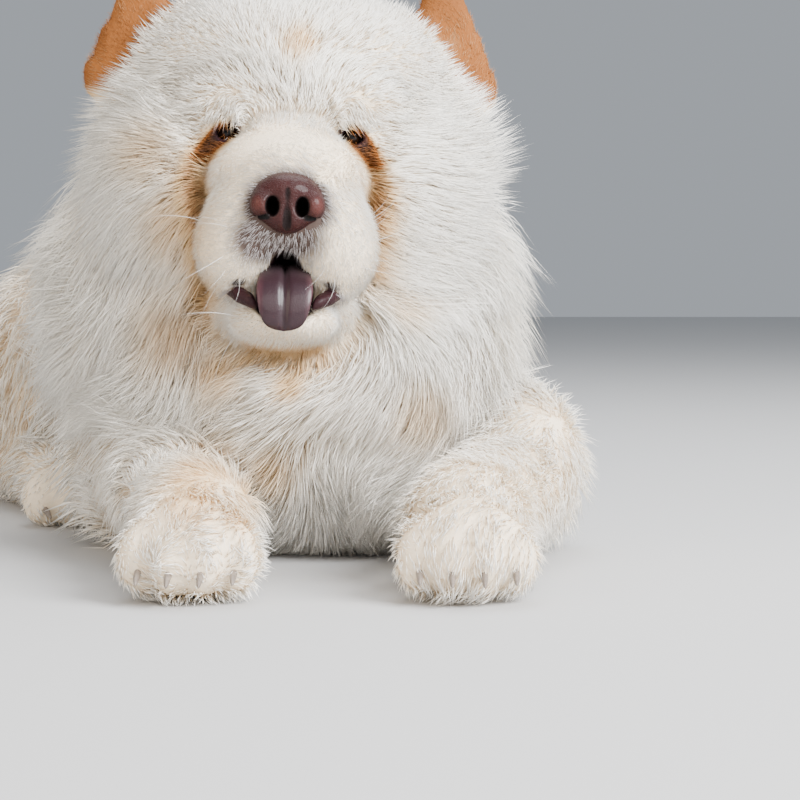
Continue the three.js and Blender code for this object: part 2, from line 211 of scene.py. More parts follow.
def pair(place, radii):
    """A ball on the left and its mirror image on the right."""
    return [ball(sided(place, side), radii) for side in (1, -1)]


print("eyes at", EYES.round(1), "roll and yaw", np.degrees((HEAD_ROLL, HEAD_YAW)).round(2))

# %% [markdown]
# ## The outline of the coat
#
# These masses are those of the solids. The solids' own meshes could be measured with rays, but a field is
# quicker and smooth where two of them meet. It is needed because a hair is as long as the way from its
# root to this outline. Each part is kept apart, so that its hair can be combed its own way.

# %% The coat's parts
SIDES = {"left": 1, "right": -1}


def toe_points(paw, turn):
    pitch = PAW_WIDTH / (TOES + 0.4)
    cos, sin = math.cos(turn), math.sin(turn)
    for i in range(TOES):
        across = (i - (TOES - 1) / 2) * pitch
        ahead = 26 - (across / pitch) ** 2 * 5
        yield (paw[0] + across * cos + ahead * sin, paw[1] + across * sin - ahead * cos, paw[2] - 8)


def paw_field(paw, turn, depth):
    radii = (14.5 - depth * 0.5, 21 - depth, 21 - depth)
    return blend(10 - depth, *(ball(toe, radii, turn) for toe in toe_points(paw, turn)))


def ear_field(side, depth):
    root = (side * 110, 66, 40)
    tip = (side * 100, 60, 108 - depth)
    plate = squeezed(limb([root, tip], [36 - depth, 17 - depth], 3), root, (1, 0.42 - depth * 0.01, 1))
    return carve(6, plate, ball((side * 106, 46, 74), (20, 11, 34)))


def paired_fields(ear_depth, depth, fillets, shoulder, shoulder_radii, fore, paw_radii, thigh_radii, shank):
    """The ears and the legs, drawn in by the depth of the coat on them."""
    parts = {}
    for name, side in SIDES.items():
        parts[f"ear_{name}"] = ear_field(side, ear_depth)
        elbow, wrist, paw = (sided(place, side) for place in (ELBOW, WRIST, FOREPAW))
        parts[f"foreleg_{name}"] = blend(
            fillets[0],
            ball((elbow[0] - shoulder[0] * side, elbow[1] + shoulder[1], elbow[2]), shoulder_radii),
            limb([elbow, sided(FOREARM, side), wrist], fore),
            limb([wrist, paw], paw_radii, 2),
            paw_field(paw, 0, depth),
        )
        thigh, hock, shin, hind = (from_rump(sided(place, side)) for place in (THIGH, HOCK, SHIN, HIND_PAW))
        parts[f"hindleg_{name}"] = blend(
            fillets[1],
            ball(thigh, thigh_radii, SPINE_TURN),
            limb([hock, shin, hind], shank),
            paw_field(hind, SPINE_TURN, depth),
        )
    return parts


outline = {
    "head": blend(
        30,
        ball((0, 84, 12), (HEAD_HALF - 6, 96, 94)),
        ball((0, 62, 60), (HEAD_HALF - 44, 78, 48)),
        *pair((HEAD_HALF - 66, 52, -28), (64, 66, 78)),
        ball((0, 4, 24), (62, 30, 30)),
    ),
    "muzzle": blend(
        18,
        ball((0, -22, -36), (MUZZLE_HALF - 6, 52, 38)),
        ball((0, -52, -52), (MUZZLE_HALF - 12, 34, 30)),
        *pair((MUZZLE_HALF - 27, -40, -74), (29, 40, 36)),
        ball((0, -42, -122), (38, 36, 21)),
        ball((0, -4, -112), (46, 46, 30)),
    ),
    "mane": blend(
        50,
        ball(CHEST, (172, 130, 160)),
        ball((-38, -62, 238), (158, 122, 106)),
        ball((-48, -4, 262), (146, 96, 88)),
        ball((-14, -104, 104), (124, 84, 98)),
        ball((-8, -30, 62), (96, 84, 74)),
    ),
    "trunk": blend(
        60,
        ball((-64, 40, 160), (172, 150, 150), SPINE_TURN / 2),
        ball((-148, -66, 62), (60, 62, 66)),
        ball(LOIN, (146, 190, BACK_HEIGHT / 2), SPINE_TURN),
        ball(RUMP, (148, 140, 139), SPINE_TURN),
    ),
    "tail": limb(TAIL_LINE, (34, 42, 52, 54, 30), 10),
}
shoulder_and_foreleg = ((8, 4), (58, 80, 70), (52, 45, 39), (39, 36))
thigh_and_shank = ((64, 128, 108), (38, 34, 31))
outline |= paired_fields(0, 0, (26, 30), *shoulder_and_foreleg, *thigh_and_shank)

# %% [markdown]
# ## The body under the coat
#
# A chow's coat is deep on the mane, the trunk and the tail, and short on the muzzle, the ears and the
# feet. The body is the same set of masses, each drawn in by its own depth of coat. The face is modelled in
# full: orbits and brows, pads of cheek, the dome of the muzzle, hanging lips, the chin, the mouth and the
# lids. One skin is made of it all, because separate pieces would show seams where the hair is short.

# %% The body's parts
LOWER_LIP = ((36, -48, -100), (25, -68, -107), (0, -76, -112), (-25, -68, -107), (-36, -48, -100))
LIP_LINE = ((37, -52, -93), (23, -72, -101), (0, -80, -105), (-23, -72, -101), (-37, -52, -93))
SOLE = 1.5  # the skin stops just above the floor, and short hair fills the rest
FACE_MASSES = (  # cheek, socket, brow, pad beside the muzzle, and lids
    ((56, 44, -30), (50, 52, 56)),
    ((42, 16, 2), (27, 25, 27)),
    ((40, 6, 24), (27, 21, 13)),
    ((62, 20, -34), (24, 27, 34)),
    ((EYE_SPACING / 2, 0, 0), (EYE_RADIUS + 2.8,) * 3),
)
body = {
    "head": blend(
        14,
        ball((0, 84, 10), (110, 88, 78)),
        ball((0, 50, 48), (92, 62, 46)),
        ball((0, 10, 18), (52, 24, 26)),
        *(ball(sided(middle, side), radii) for side in (1, -1) for middle, radii in FACE_MASSES),
    ),
    "muzzle": blend(
        13,
        ball((0, -18, -32), (MUZZLE_HALF - 7, 49, 37)),
        ball((0, -50, -52), (MUZZLE_HALF - 13, 33, 30)),
        *pair((MUZZLE_HALF - 27, -40, -74), (27, 38, 32)),
    ),
    "jaw": blend(
        7,
        ball((0, -44, -122), (33, 31, 15)),
        ball((0, -8, -110), (42, 44, 26)),
        limb(LOWER_LIP, (4.5, 5, 5, 5, 4.5), 10),
    ),
    "mane": blend(
        50,
        ball(CHEST, (134, 100, 132)),
        ball((-38, -34, 230), (114, 94, 92)),
        ball((-14, -94, 102), (94, 66, 82)),
        ball((-8, -30, 62), (80, 66, 58)),
    ),
    "trunk": blend(
        50,
        ball((-64, 40, 156), (136, 130, 124), SPINE_TURN / 2),
        ball((-138, -62, 58), (38, 42, 44)),
        ball(LOIN, (114, 168, BACK_HEIGHT / 2 - 28), SPINE_TURN),
        ball(RUMP, (114, 112, 112), SPINE_TURN),
    ),
    "tail": limb(TAIL_LINE, (16, 15, 13, 10, 6), 10),
}
shoulder_and_foreleg = ((10, 6), (44, 62, 54), (38, 32, 29), (29, 28))
thigh_and_shank = ((46, 104, 84), (28, 25, 23))
body |= paired_fields(4, 3.5, (22, 24), *shoulder_and_foreleg, *thigh_and_shank)


# %% The openings of the face
def eye_hollow(side):
    """The eyeball's room, and the slit between the lids, which slants down to the nose."""
    slit = ball((side * (EYE_SPACING / 2 + 1), -EYE_RADIUS - 5, -1), (7.6, 14, 5.0))
    return [ball((side * EYE_SPACING / 2, 0, 0), (EYE_RADIUS + 0.3,) * 3), slit]


ON_HEAD = ("head", "muzzle", "jaw", "ear_left", "ear_right")
eye_hollows = [hollow for side in (1, -1) for hollow in eye_hollow(side)]
behind_nose = ball((0, -86, -49), (19, 20, 11))
mouth = blend(
    5,
    ball((0, -62, -106), (19, 38, 17)),
    ball((0, -62, -92), (10, 36, 15)),
    limb(LIP_LINE, (1.6, 2.6, 3.2, 2.6, 1.6), 10),
)
philtrum = limb([(0, -83, -60), (0, -78, -72), (0, -72, -80)], (1.8, 2.2, 3.0), 3)


# %% The skin as one field
def measure(parts, p):
    """The value of every part at each point."""
    head = to_head(p)
    return {name: field(head if name in ON_HEAD else p) for name, field in parts.items()}


def coat_depth(p):
    """How deep under the outline of the coat each point lies."""
    values = measure(outline, p)
    face = soft_min(values.pop("head"), values.pop("muzzle"), 16)
    rest = values.pop("mane")
    for value in values.values():
        rest = soft_min(rest, value, 34)
    return -soft_min(face, rest, 34)


def skin_field(p):
    """The skin: the whole body as one surface, open at the mouth and the eyes and cut off by the floor."""
    head = to_head(p)
    values = measure(body, p)
    above, between = fade(head[:, 2], -14, 4), fade(np.abs(head[:, 0]), 32, 18)
    fillet = 9 + 16 * above * between  # sharp furrows beside the muzzle, and a soft stop above it
    face = soft_min(soft_min(values.pop("head"), values.pop("muzzle"), fillet), values.pop("jaw"), 5)
    rest = values.pop("mane")
    for value in values.values():
        rest = soft_min(rest, value, 30)
    near = np.flatnonzero(face < 25)
    cut = face[near]
    if len(near):
        local = head[near]
        cut = -soft_min(-cut, mouth(local), 4)
        cut = -soft_min(-cut, philtrum(local), 2)
        for hollow in [*eye_hollows, behind_nose]:
            cut = -soft_min(-cut, hollow(local), 0.8)
        face[near] = cut
    whole = soft_min(face, rest, 26)
    whole[near] = np.maximum(whole[near], np.where(mouth(head[near]) < 0, cut, -np.inf))
    return np.maximum(whole, SOLE - p[:, 2])


# %% [markdown]
# ## From a field to a mesh
#
# Surface nets put one vertex in each cell that the surface crosses, and a square round each grid edge that
# it crosses. A Remesh modifier would do the same at one size all over. Here the grid's lines are close
# together over the face and the paws and further apart elsewhere, so the lids get the detail and the back
# does not. Each vertex is then pulled onto the true surface.


# %% Surface nets
def grid_lines(*bands):
    """Grid lines from bands of (start, step), ended by (stop, None)."""
    lines = [np.arange(a, b, step) for (a, step), (b, _) in zip(bands[:-1], bands[1:])]
    return np.append(np.concatenate(lines), bands[-1][0]).astype(np.float32)


OUTSIDE = 5.0  # the grid's own faces are outside, so that the surface is closed


def in_chunks(field, p, size=60000):
    return np.concatenate([field(p[i : i + size]) for i in range(0, len(p), size)])


def surface_nets(field, lines):
    """Vertices and squares of the surface of a field on a grid."""
    shape = tuple(len(line) for line in lines)
    points = np.stack(np.meshgrid(*lines, indexing="ij"), -1).reshape(-1, 3)
    values = in_chunks(field, points).reshape(shape)
    for axis in range(3):
        for end in (0, -1):
            np.moveaxis(values, axis, 0)[end] = OUTSIDE
    inside = values < 0
    corner = [np.array([c & 1, (c >> 1) & 1, (c >> 2) & 1]) for c in range(8)]
    shifts = [tuple(slice(o, n - 1 + o) for o, n in zip(c, shape)) for c in corner]
    count = sum(inside[shift].astype(np.int8) for shift in shifts)
    cells = np.argwhere((count > 0) & (count < 8))
    at = [values[tuple((cells + c).T)] for c in corner]
    total, crossings = np.zeros((len(cells), 3)), np.zeros(len(cells))
    for a in range(8):
        for axis in range(3):
            b = a + (1 << axis)
            if corner[a][axis] or b > 7:
                continue
            crossed = (at[a] < 0) != (at[b] < 0)
            place = np.repeat(corner[a][None, :].astype(float), len(cells), 0)
            place[:, axis] += at[a] / np.where(crossed, at[a] - at[b], 1)
            total[crossed] += place[crossed]
            crossings += crossed
    inner = total / crossings[:, None]
    vertices = np.empty((len(cells), 3), np.float32)
    for axis in range(3):
        line, i = lines[axis], cells[:, axis]
        vertices[:, axis] = line[i] + inner[:, axis] * (line[i + 1] - line[i])
    number = np.full(shape, -1)
    number[tuple(cells.T)] = np.arange(len(cells))
    squares = []
    for axis in range(3):
        b, c = (axis + 1) % 3, (axis + 2) % 3
        here = np.moveaxis(inside, (axis, b, c), (0, 1, 2))
        ids = np.moveaxis(number, (axis, b, c), (0, 1, 2))
        crossed = np.argwhere(here[:-1, 1:, 1:] != here[1:, 1:, 1:])
        i, j, k = crossed[:, 0], crossed[:, 1] + 1, crossed[:, 2] + 1
        ring = np.stack([ids[i, j, k], ids[i, j - 1, k], ids[i, j - 1, k - 1], ids[i, j, k - 1]], 1)
        ring[~here[i, j, k]] = ring[~here[i, j, k]][:, ::-1]
        squares.append(ring)
    return vertices, np.concatenate(squares)


# %% Pulling points onto a surface
def slopes(field, p, h=0.15):
    """The value of a field and its slope at each point."""
    value = in_chunks(field, p)
    steps = h * np.eye(3, dtype=np.float32)
    return value, np.stack([in_chunks(field, p + step) - value for step in steps], 1) / h


def settle(field, p, farthest):
    """Points pulled onto the surface of a field, by no more than the given way."""
    moved = p.copy()
    for _ in range(3):
        value, slope = slopes(field, moved)
        steep = np.maximum((slope**2).sum(1), 0.1)
        moved -= slope * (value / steep)[:, None]
    away = moved - p
    length = np.linalg.norm(away, axis=1) + 1e-9
    return p + away * np.minimum(1, farthest / length)[:, None]


# %% A mesh from arrays
def mesh_object(name, vertices, faces, smooth=True):
    """An object from points in millimetres and a list of arrays of faces, each of one size."""
    mesh = bpy.data.meshes.new(name)
    sizes = np.concatenate([np.full(len(f), f.shape[1]) for f in faces])
    loops = np.concatenate([f.ravel() for f in faces]).astype(np.int32)
    mesh.vertices.add(len(vertices))
    mesh.vertices.foreach_set("co", (np.asarray(vertices, np.float32) * MM).ravel())
    mesh.loops.add(len(loops))
    mesh.loops.foreach_set("vertex_index", loops)
    mesh.polygons.add(len(sizes))
    mesh.polygons.foreach_set("loop_start", (np.cumsum(sizes) - sizes).astype(np.int32))
    mesh.polygons.foreach_set("use_smooth", np.full(len(sizes), smooth))
    mesh.update(calc_edges=True)
    mesh.validate()
    made = bpy.data.objects.new(name, mesh)
    bpy.context.collection.objects.link(made)
    return made


# %% Tubes, and numbers on a mesh
def tube_squares(rings, around):
    """The squares between rings of points that follow each other."""
    i, j = np.meshgrid(np.arange(rings - 1), np.arange(around), indexing="ij")
    following = (j + 1) % around
    corners = [i * around + j, i * around + following, (i + 1) * around + following, (i + 1) * around + j]
    return np.stack(corners, -1).reshape(-1, 4)


def tube_ends(rings, around):
    """A face over each end of a tube."""
    return np.stack([np.arange(around)[::-1], np.arange(around) + (rings - 1) * around])


def paint(piece, **values):
    """Stores a number on every vertex, under each of the given names."""
    for name, numbers in values.items():
        layer = piece.data.attributes.new(name, "FLOAT", "POINT")
        layer.data.foreach_set("value", np.asarray(numbers, np.float32))


# %% The skin
skin_lines = (
    grid_lines((-350, 10), (-130, 5), (-108, 2.0), (50, 5), (130, 10), (220, None)),
    grid_lines((-390, 5), (-300, 9), (-250, 2.0), (-132, 10), (480, None)),
    grid_lines((-6, 5), (62, 8), (136, 2.0), (318, 4), (420, None)),
)
skin_points, skin_squares = surface_nets(skin_field, skin_lines)
skin_points = settle(skin_field, skin_points, 2.0)
print("skin", len(skin_points), "points,", len(skin_squares), "squares")
skin = mesh_object("skin", skin_points, [skin_squares])

# %% [markdown]
# ## Laying the skin out flat
#
# Each tuft takes its colour, when the model is baked, from a small patch on a map. The map is the skin's
# own unwrap, cut where the skin turns sharply, so tufts that grow side by side lie side by side on the
# map.

# %% The skin's unwrap
bpy.context.view_layer.objects.active = skin
skin.select_set(True)
skin.data.uv_layers.new(name="OFBake")
bpy.ops.object.mode_set(mode="EDIT")
bpy.ops.mesh.select_all(action="SELECT")
bpy.ops.uv.smart_project(angle_limit=math.radians(72), island_margin=0.001)
bpy.ops.object.mode_set(mode="OBJECT")
skin_uv = np.empty(len(skin.data.loops) * 2, np.float32)
skin.data.uv_layers["OFBake"].data.foreach_get("uv", skin_uv)
skin_uv = skin_uv.reshape(-1, 4, 2)
print("unwrap spans", skin_uv.min((0, 1)).round(2), skin_uv.max((0, 1)).round(2))

# %% [markdown]
# ## Markings
#
# The coat is cream white, whiter at the tips. It is orange-tan on the ears, in the folds that run from the
# eyes down beside the muzzle, and faintly in patches on the forehead, the chest and the forelegs; some of
# these patches, mostly on the dog's right and on the chest, are painted warm shade. Next to the eyes it is
# dark brown, a tear stain that is also painted shade of the eyes' hollows. Bare skin, mauve-brown, shows
# round the nose, at the lips, in the mouth and at the lids. Skin and hair read the same numbers, so the
# markings go through both. They could be painted on a map, but numbers worked out from the place of each
# point stay sharp at any size.

# %% Where the colours go
FOLDS = (  # across and up in the head's frame
    ((-47, -4), (-60, -16), (-65, -28), (-61, -58), (-57, -84)),
    ((47, -6), (55, -18), (60, -32), (60, -56), (56, -84)),
)
TEAR_STAIN_AND_SHADE = ((44, -1), (51, -8), (57, -17))  # the same, for either eye; a tear stain and painted shade of the eye's hollow
# tan markings; some patches, mostly on the dog's right and on the chest, are painted warm shade
TAN_AND_SHADE_PATCHES = [  # across and up in the dog's frame, size, and how strong
    ((-23, 343), 18, 0.52),
    ((-104, 222), 38, 0.40),
    ((-84, 212), 22, 0.16),
    ((-77, 123), 26, 0.42),
    ((-80, 66), 30, 0.38),
    ((-45, 58), 26, 0.40),
    ((-126, 272), 34, 0.34),
    ((-112, 150), 42, 0.34),
    ((-88, 178), 22, 0.51),
    ((-30, 118), 16, 0.68),
    ((58, 96), 30, 0.37),
    ((50, 168), 20, 0.34),
]
fold_lines = [limb([(x, 0, z) for x, z in line], (0, 0), 12) for line in FOLDS]
tear_stains_and_eye_shade = [limb([(side * x, 0, z) for x, z in TEAR_STAIN_AND_SHADE], (3, 2), 3) for side in (1, -1)]
lower_lip = limb(LOWER_LIP, (3.5, 4, 4, 4, 3.5), 10)
throat = ball((0, -20, -86), (25, 42, 21))


def from_eyes(head, ahead, above=0):
    """The way to each point from a place beside each eye."""
    return [head - np.array((side * EYE_SPACING / 2, ahead, above)) for side in (1, -1)]


def folds(p):
    """The tan and painted shade of the folds and of the patches in front, wherever on a hair it is."""
    head = to_head(p)
    seen = head * (1, 0, 1)
    tan = np.zeros(len(p))
    reach = 10 + 8 * fade(head[:, 2], -18, -42)
    for line in fold_lines:
        tan = np.maximum(tan, 0.78 * np.clip(1.1 - line(seen) / reach, 0, 1))
    # dark brown next to each eye: a tear stain and painted shade
    for line in tear_stains_and_eye_shade:
        tan += 1.25 * fade(line(seen), 6, 0)
    tan *= fade(head[:, 1], 20, 0) * fade(head[:, 1], -44, -28)
    for (x, z), size, strength in TAN_AND_SHADE_PATCHES:
        from_patch = np.hypot(p[:, 0] - x, p[:, 2] - z)
        tan = np.maximum(tan, strength * fade(from_patch, size, size * 0.2) * fade(p[:, 1], -70, -120))
    return tan


# %% How tan, with painted shade, and how bare
def markings(p):
    """How tan, with painted shade, and how bare the dog is at each point."""
    head = to_head(p)
    values = measure(body, p)
    tan = folds(p)
    ear = np.minimum(values["ear_left"], values["ear_right"])
    tan = np.maximum(tan, fade(ear, 7, 1) * fade(head[:, 2], 14, 34))
    chin_crease = ball((0, -34, -139), (34, 22, 7))(head)
    tan = np.maximum(tan, 0.6 * fade(chin_crease, 6, -1))
    tan = np.maximum(tan, fade(p[:, 1], 120, 260) * 0.08)
    bare = np.maximum(fade(mouth(head), 3.2, 0.4), fade(lower_lip(head), 3, 1))
    bare = np.maximum(bare, fade(throat(head), 1, -1))
    for way in from_eyes(head, -9):
        bare = np.maximum(bare, fade(np.linalg.norm(way, axis=1), 13, 10))
    around_nose = ball((0, -78, -48), (25, 20, 20))(head)
    bare = np.maximum(bare, 0.95 * fade(around_nose, 9, 0))
    upper_lip = ball((-6, -84, -70), (30, 26, 21))(head)
    bare = np.maximum(bare, 0.95 * fade(upper_lip, 8, -7))
    return tan, np.clip(bare, 0, 1)


skin_tan_and_shade, skin_bare = markings(skin_points)
# The hide takes a colour near the hair's darker root: painted shade in the gaps between the locks.
even = np.ones(len(skin_points))
paint(skin, tan=skin_tan_and_shade, bare=skin_bare, along=even * 0.12, shade=even * 0.5)

# %% [markdown]
# ## The lie of the coat
#
# Hair on the face runs outwards from the nose. It hangs down the chest, and runs back along the trunk,
# down the legs and out along the tail. Each part of the body pulls the hair near it its own way, and the
# pulls are mixed by how near each part is. Guide hairs could be combed by hand, but a rule can be
# corrected for the whole coat at once.


# %% Combing
def unit(v):
    return v / (np.linalg.norm(v, axis=1)[:, None] + 1e-9)


def wander(p, size, seed):
    """A smooth random vector at each point, which changes over about the given size."""
    rng = np.random.default_rng(seed)
    out = np.zeros((len(p), 3))
    for _ in range(7):
        wave = rng.normal(size=3) / size
        out += np.sin((p @ wave + rng.uniform(0, 2 * math.pi))[:, None]) * rng.normal(size=3)
    return out / 2.6


def over_eye(head):
    """1 on the brow just over an eye, where the hair hangs down over the lid."""
    return fade(np.min([np.linalg.norm(way, axis=1) for way in from_eyes(head, -10, 14)], 0), 15, 7)


tail_joints = curve_through(TAIL_LINE, 24)
tail_runs = np.gradient(tail_joints, axis=0)


# %% The way of every hair
def comb(p, normals):
    """The way that the hair runs at each point, along the skin."""
    values = measure(body, p)
    head = to_head(p)
    from_nose = unit(head - np.array((0, -84, -44))) @ HEAD_TURN.T
    nearest = np.argmin(((p[:, None] - tail_joints[None]) ** 2).sum(2), 1)
    neck_side = (p[:, 0] - CHEST[0]) / 150
    up_neck = fade(p[:, 2], 190, 300)
    mane = np.stack([neck_side * 0.7, 0.2 + 0.5 * up_neck, -1.0 + 0.7 * up_neck], 1) + from_nose * 0.5
    one = np.ones((len(p), 1))
    ways = {
        "head": from_nose + np.array((0, 0.15, -0.12)),
        "muzzle": from_nose,
        "jaw": from_nose * 0.6 + np.array((0, 0.1, -0.5)),
        "mane": unit(mane),
        "trunk": unit(one * SPINE_WAY * 0.9 + np.array((0, 0, -0.55))),
        "tail": unit(tail_runs[nearest]),
        "ear_left": one * (0.2, 0, 1.0),
        "ear_right": one * (-0.2, 0, 1.0),
    }
    for name in SIDES:
        ways[f"foreleg_{name}"] = one * (0, -1.0, -0.35)
        ways[f"hindleg_{name}"] = one * SPINE_WAY * 0.55 + np.array((0, 0, -0.8))
    total = np.zeros((len(p), 3))
    for name, way in ways.items():
        total += np.exp(-np.maximum(values[name], 0) / 12)[:, None] * way
    outwards = np.sign(head[:, 0])[:, None] * np.array((0.5, 0, 0)) @ HEAD_TURN.T
    total += over_eye(head)[:, None] * 3.5 * (outwards + np.array((0, -0.3, -1.0)))
    loose = 0.20 + 0.62 * fade(values["head"], 6, 30)
    along = unit(total + (wander(p, 22, SEED) + wander(p, 55, SEED + 1)) * loose[:, None])
    return unit(along - (along * normals).sum(1)[:, None] * normals)


# %% [markdown]
# ## Tufts
#
# A chow has a woolly undercoat, and long guard hairs that gather in locks. Hair curves could grow them,
# but the model has to be plain mesh in the end. So each lock is a closed spike with three sides that
# leaves the skin at one angle, bends over to another, and ends in a point. All the locks of one part of
# the coat are one mesh, worked out as arrays, because a modifier would be slow with so many. Near their
# tips, locks lean towards the same guide lock as their neighbours, which clumps the coat as oil and damp
# do.

# %% Growing locks
FLOOR_GAP = 0.8  # locks that reach the floor lie along it
PATCH = 0.003  # how wide a tuft's patch is on the unwrap
LOOSE = (0.17, 0.22)  # how far locks stray from their rise, at the root and at the tip
ASTRAY = 0.22  # how far they stray to the side
SAG = (0, 0, -0.26)  # how much their weight bends them
PER_GUIDE = 14  # how many locks gather round one guide
APART = 0.75  # how far from its guide's tip a gathered lock's tip stays, as a share of that at the roots


def locks(name, roots, normals, runs, lengths, widths, rise, segments, clump, uv, rng, wave=0.0):
    """A mesh of locks from arrays of roots, skin normals, ways to run, lengths and widths."""
    count = len(roots)
    start, end = (np.radians(angle) + rng.normal(0, stray, count) for angle, stray in zip(rise, LOOSE))
    turned = unit(runs + np.cross(normals, runs) * rng.normal(0, ASTRAY, count)[:, None])
    first = turned * np.cos(start)[:, None] + normals * np.sin(start)[:, None]
    last = unit(turned * np.cos(end)[:, None] + normals * np.sin(end)[:, None] + np.array(SAG))
    steps = np.linspace(0, 1, segments + 1)
    line = [roots + lengths[:, None] * (first * t + (last - first) * t * t / 2) for t in steps]
    guides = rng.choice(count, max(count // PER_GUIDE, 1), replace=False)
    tree = kdtree.KDTree(len(guides))
    for i, g in enumerate(guides):
        tree.insert(roots[g], i)
    tree.balance()
    chosen = guides[[tree.find(root)[1] for root in roots]]
    pull = clump * rng.uniform(0.5, 1.1, count)[:, None]
    for k, t in enumerate(steps[1:], 1):
        shift = (line[k][chosen] - roots[chosen]) * (lengths / lengths[chosen])[:, None]
        goal = roots + shift + (roots[chosen] - roots) * APART * t
        line[k] = line[k] + (goal - line[k]) * pull * t
    side = unit(np.cross(first, normals) + 1e-6)
    swing = side * (wander(roots, 24, SEED + 3)[:, 0] * wave * lengths)[:, None]
    line = [at + swing * math.sin(1.5 * math.pi * t) for at, t in zip(line, steps)]
    line = [np.maximum(at, (-np.inf, -np.inf, FLOOR_GAP)) for at in line]
    rings = []
    for k, t in enumerate(steps[:-1]):
        thick = widths * (0.75 + 0.5 * t) if t < 0.5 else widths * (1.6 - 1.2 * t)
        up = np.cross(side, unit(line[k + 1] - line[k]))
        for corner in range(3):
            angle = 2 * math.pi * corner / 3
            reach = side * math.cos(angle) + up * 0.6 * math.sin(angle)
            rings.append(line[k] + reach * (thick / 2)[:, None])
    rings.append(line[-1])
    per_lock = len(rings)
    vertices = np.stack(rings, 1).reshape(-1, 3)
    base = np.arange(count)[:, None] * per_lock
    quads = [
        base + np.array([[3 * k + c, 3 * k + (c + 1) % 3, 3 * k + 3 + (c + 1) % 3, 3 * k + 3 + c]])
        for k in range(segments - 1)
        for c in range(3)
    ]
    ring = 3 * (segments - 1)
    triangles = [base + np.array([[ring + c, ring + (c + 1) % 3, per_lock - 1]]) for c in range(3)]
    triangles.append(base + np.array([[2, 1, 0]]))
    faces = [np.concatenate(quads)] if quads else []
    piece = mesh_object(name, vertices, [*faces, np.concatenate(triangles)])
    heights = np.append(np.repeat(steps[:-1], 3), 1.0)
    patch = np.stack([np.append(np.tile([0, 0.5, 1], segments), 0.5), heights], 1) * PATCH - PATCH / 2
    places = (uv[:, None] + patch[None]).reshape(-1, 2)
    corners = np.empty(len(piece.data.loops), np.int32)
    piece.data.loops.foreach_get("vertex_index", corners)
    layer = piece.data.uv_layers.new(name="OFBake")
    layer.data.foreach_set("uv", np.clip(places[corners], 0, 1).astype(np.float32).ravel())
    paint(piece, along=np.tile(heights, count))
    return piece, per_lock


# %% Where hair grows
def eye_distance(head):
    """How far each point is from the nearer eye, with less room asked for above it than below it."""
    nearest = np.full(len(head), np.inf)
    for across, ahead, above in (way.T for way in from_eyes(head, -10)):
        above = above * np.where(above > 0, 1.7, 1.1)
        nearest = np.minimum(nearest, np.sqrt((across * 0.85) ** 2 + ahead**2 + above**2))
    return nearest


def in_halves(corners):
    """Each square's four corners as those of its two triangles."""
    return np.concatenate([corners[:, [0, 1, 2]], corners[:, [0, 2, 3]]])


halves, half_uv = in_halves(skin_points[skin_squares]), in_halves(skin_uv)
crosses = np.cross(halves[:, 1] - halves[:, 0], halves[:, 2] - halves[:, 0])
half_area = np.linalg.norm(crosses, axis=1) / 2
middles = halves.mean(1).astype(np.float32)
skin_normals = unit(slopes(skin_field, skin_points)[1])
half_normals = in_halves(skin_normals[skin_squares])
near_parts = measure(body, middles)
part_of = np.array(list(near_parts))[np.argmin(np.stack(list(near_parts.values())), 0)]
half_bare = markings(middles)[1]
on_head = to_head(middles)
lip_room = np.where(np.abs(on_head[:, 0]) > 27, 0.6, 2.5)  # the corners of the mouth are covered by hair
in_mouth = (mouth(on_head) < lip_room) | (lower_lip(on_head) < 1.0) | (throat(on_head) < 1)
in_eye = eye_distance(on_head) < 8.5
under_nose = ball((0, -80, -48), (22, 22, 17))(on_head) < 0
hairy = ~in_mouth & ~in_eye & ~under_nose & (middles[:, 2] > SOLE + 0.5)
from_chest, from_hips = middles - np.array(CHEST), middles - np.array(RUMP)
along_spine = from_hips[:, 0] * SPINE_WAY[0] + from_hips[:, 1] * SPINE_WAY[1]
mane_way = np.arctan2(from_chest[:, 0], -from_chest[:, 1])
is_muzzle = np.isin(part_of, ["muzzle", "jaw"])
is_mane, is_trunk = part_of == "mane", part_of == "trunk"
is_head = (part_of == "head") * (1 - 0.55 * fade(on_head[:, 1], 20, 100))  # thicker in front
print("hairy area", round(half_area[hairy].sum() * 1e-6, 3), "square metres")

# %% [markdown]
# ## The parts of the coat
#
# Each kind of hair has a number of segments, a width, a rise from the skin in degrees at root and tip, a
# clumping and a greatest length. The muzzle has velvet, the face soft hair, and the chest hanging locks.
# One recipe for the whole dog would be simpler, but it is the change from part to part that makes a chow.

# %% Kinds of hair
VELVET = dict(segments=1, width=0.6, rise=(50, 26), clump=0.3, most=10)
HEAD_HAIR = dict(segments=2, width=0.7, rise=(52, 28), clump=0.4, most=58, wave=0.10)
MANE_HAIR = dict(segments=3, width=0.7, rise=(47, 15), clump=0.5, most=86, wave=0.2)
BODY_HAIR = dict(segments=2, width=1.6, rise=(46, 20), clump=0.4, most=60, wave=0.05)
PLUME = dict(segments=3, width=1.5, rise=(58, 32), clump=0.4, most=70)
LEG_HAIR = dict(segments=2, width=0.85, rise=(34, 10), clump=0.4, most=34)
FEATHERS = dict(segments=2, width=1.5, rise=(42, 16), clump=0.45, most=50)
EAR_HAIR = dict(segments=1, width=0.6, rise=(16, 4), clump=0.1, most=6)
CHEST_HALF = 0.8  # how far round from the front the chest's piece goes, in radians
LOIN_LINE = -80  # where the rump's piece starts, along the spine
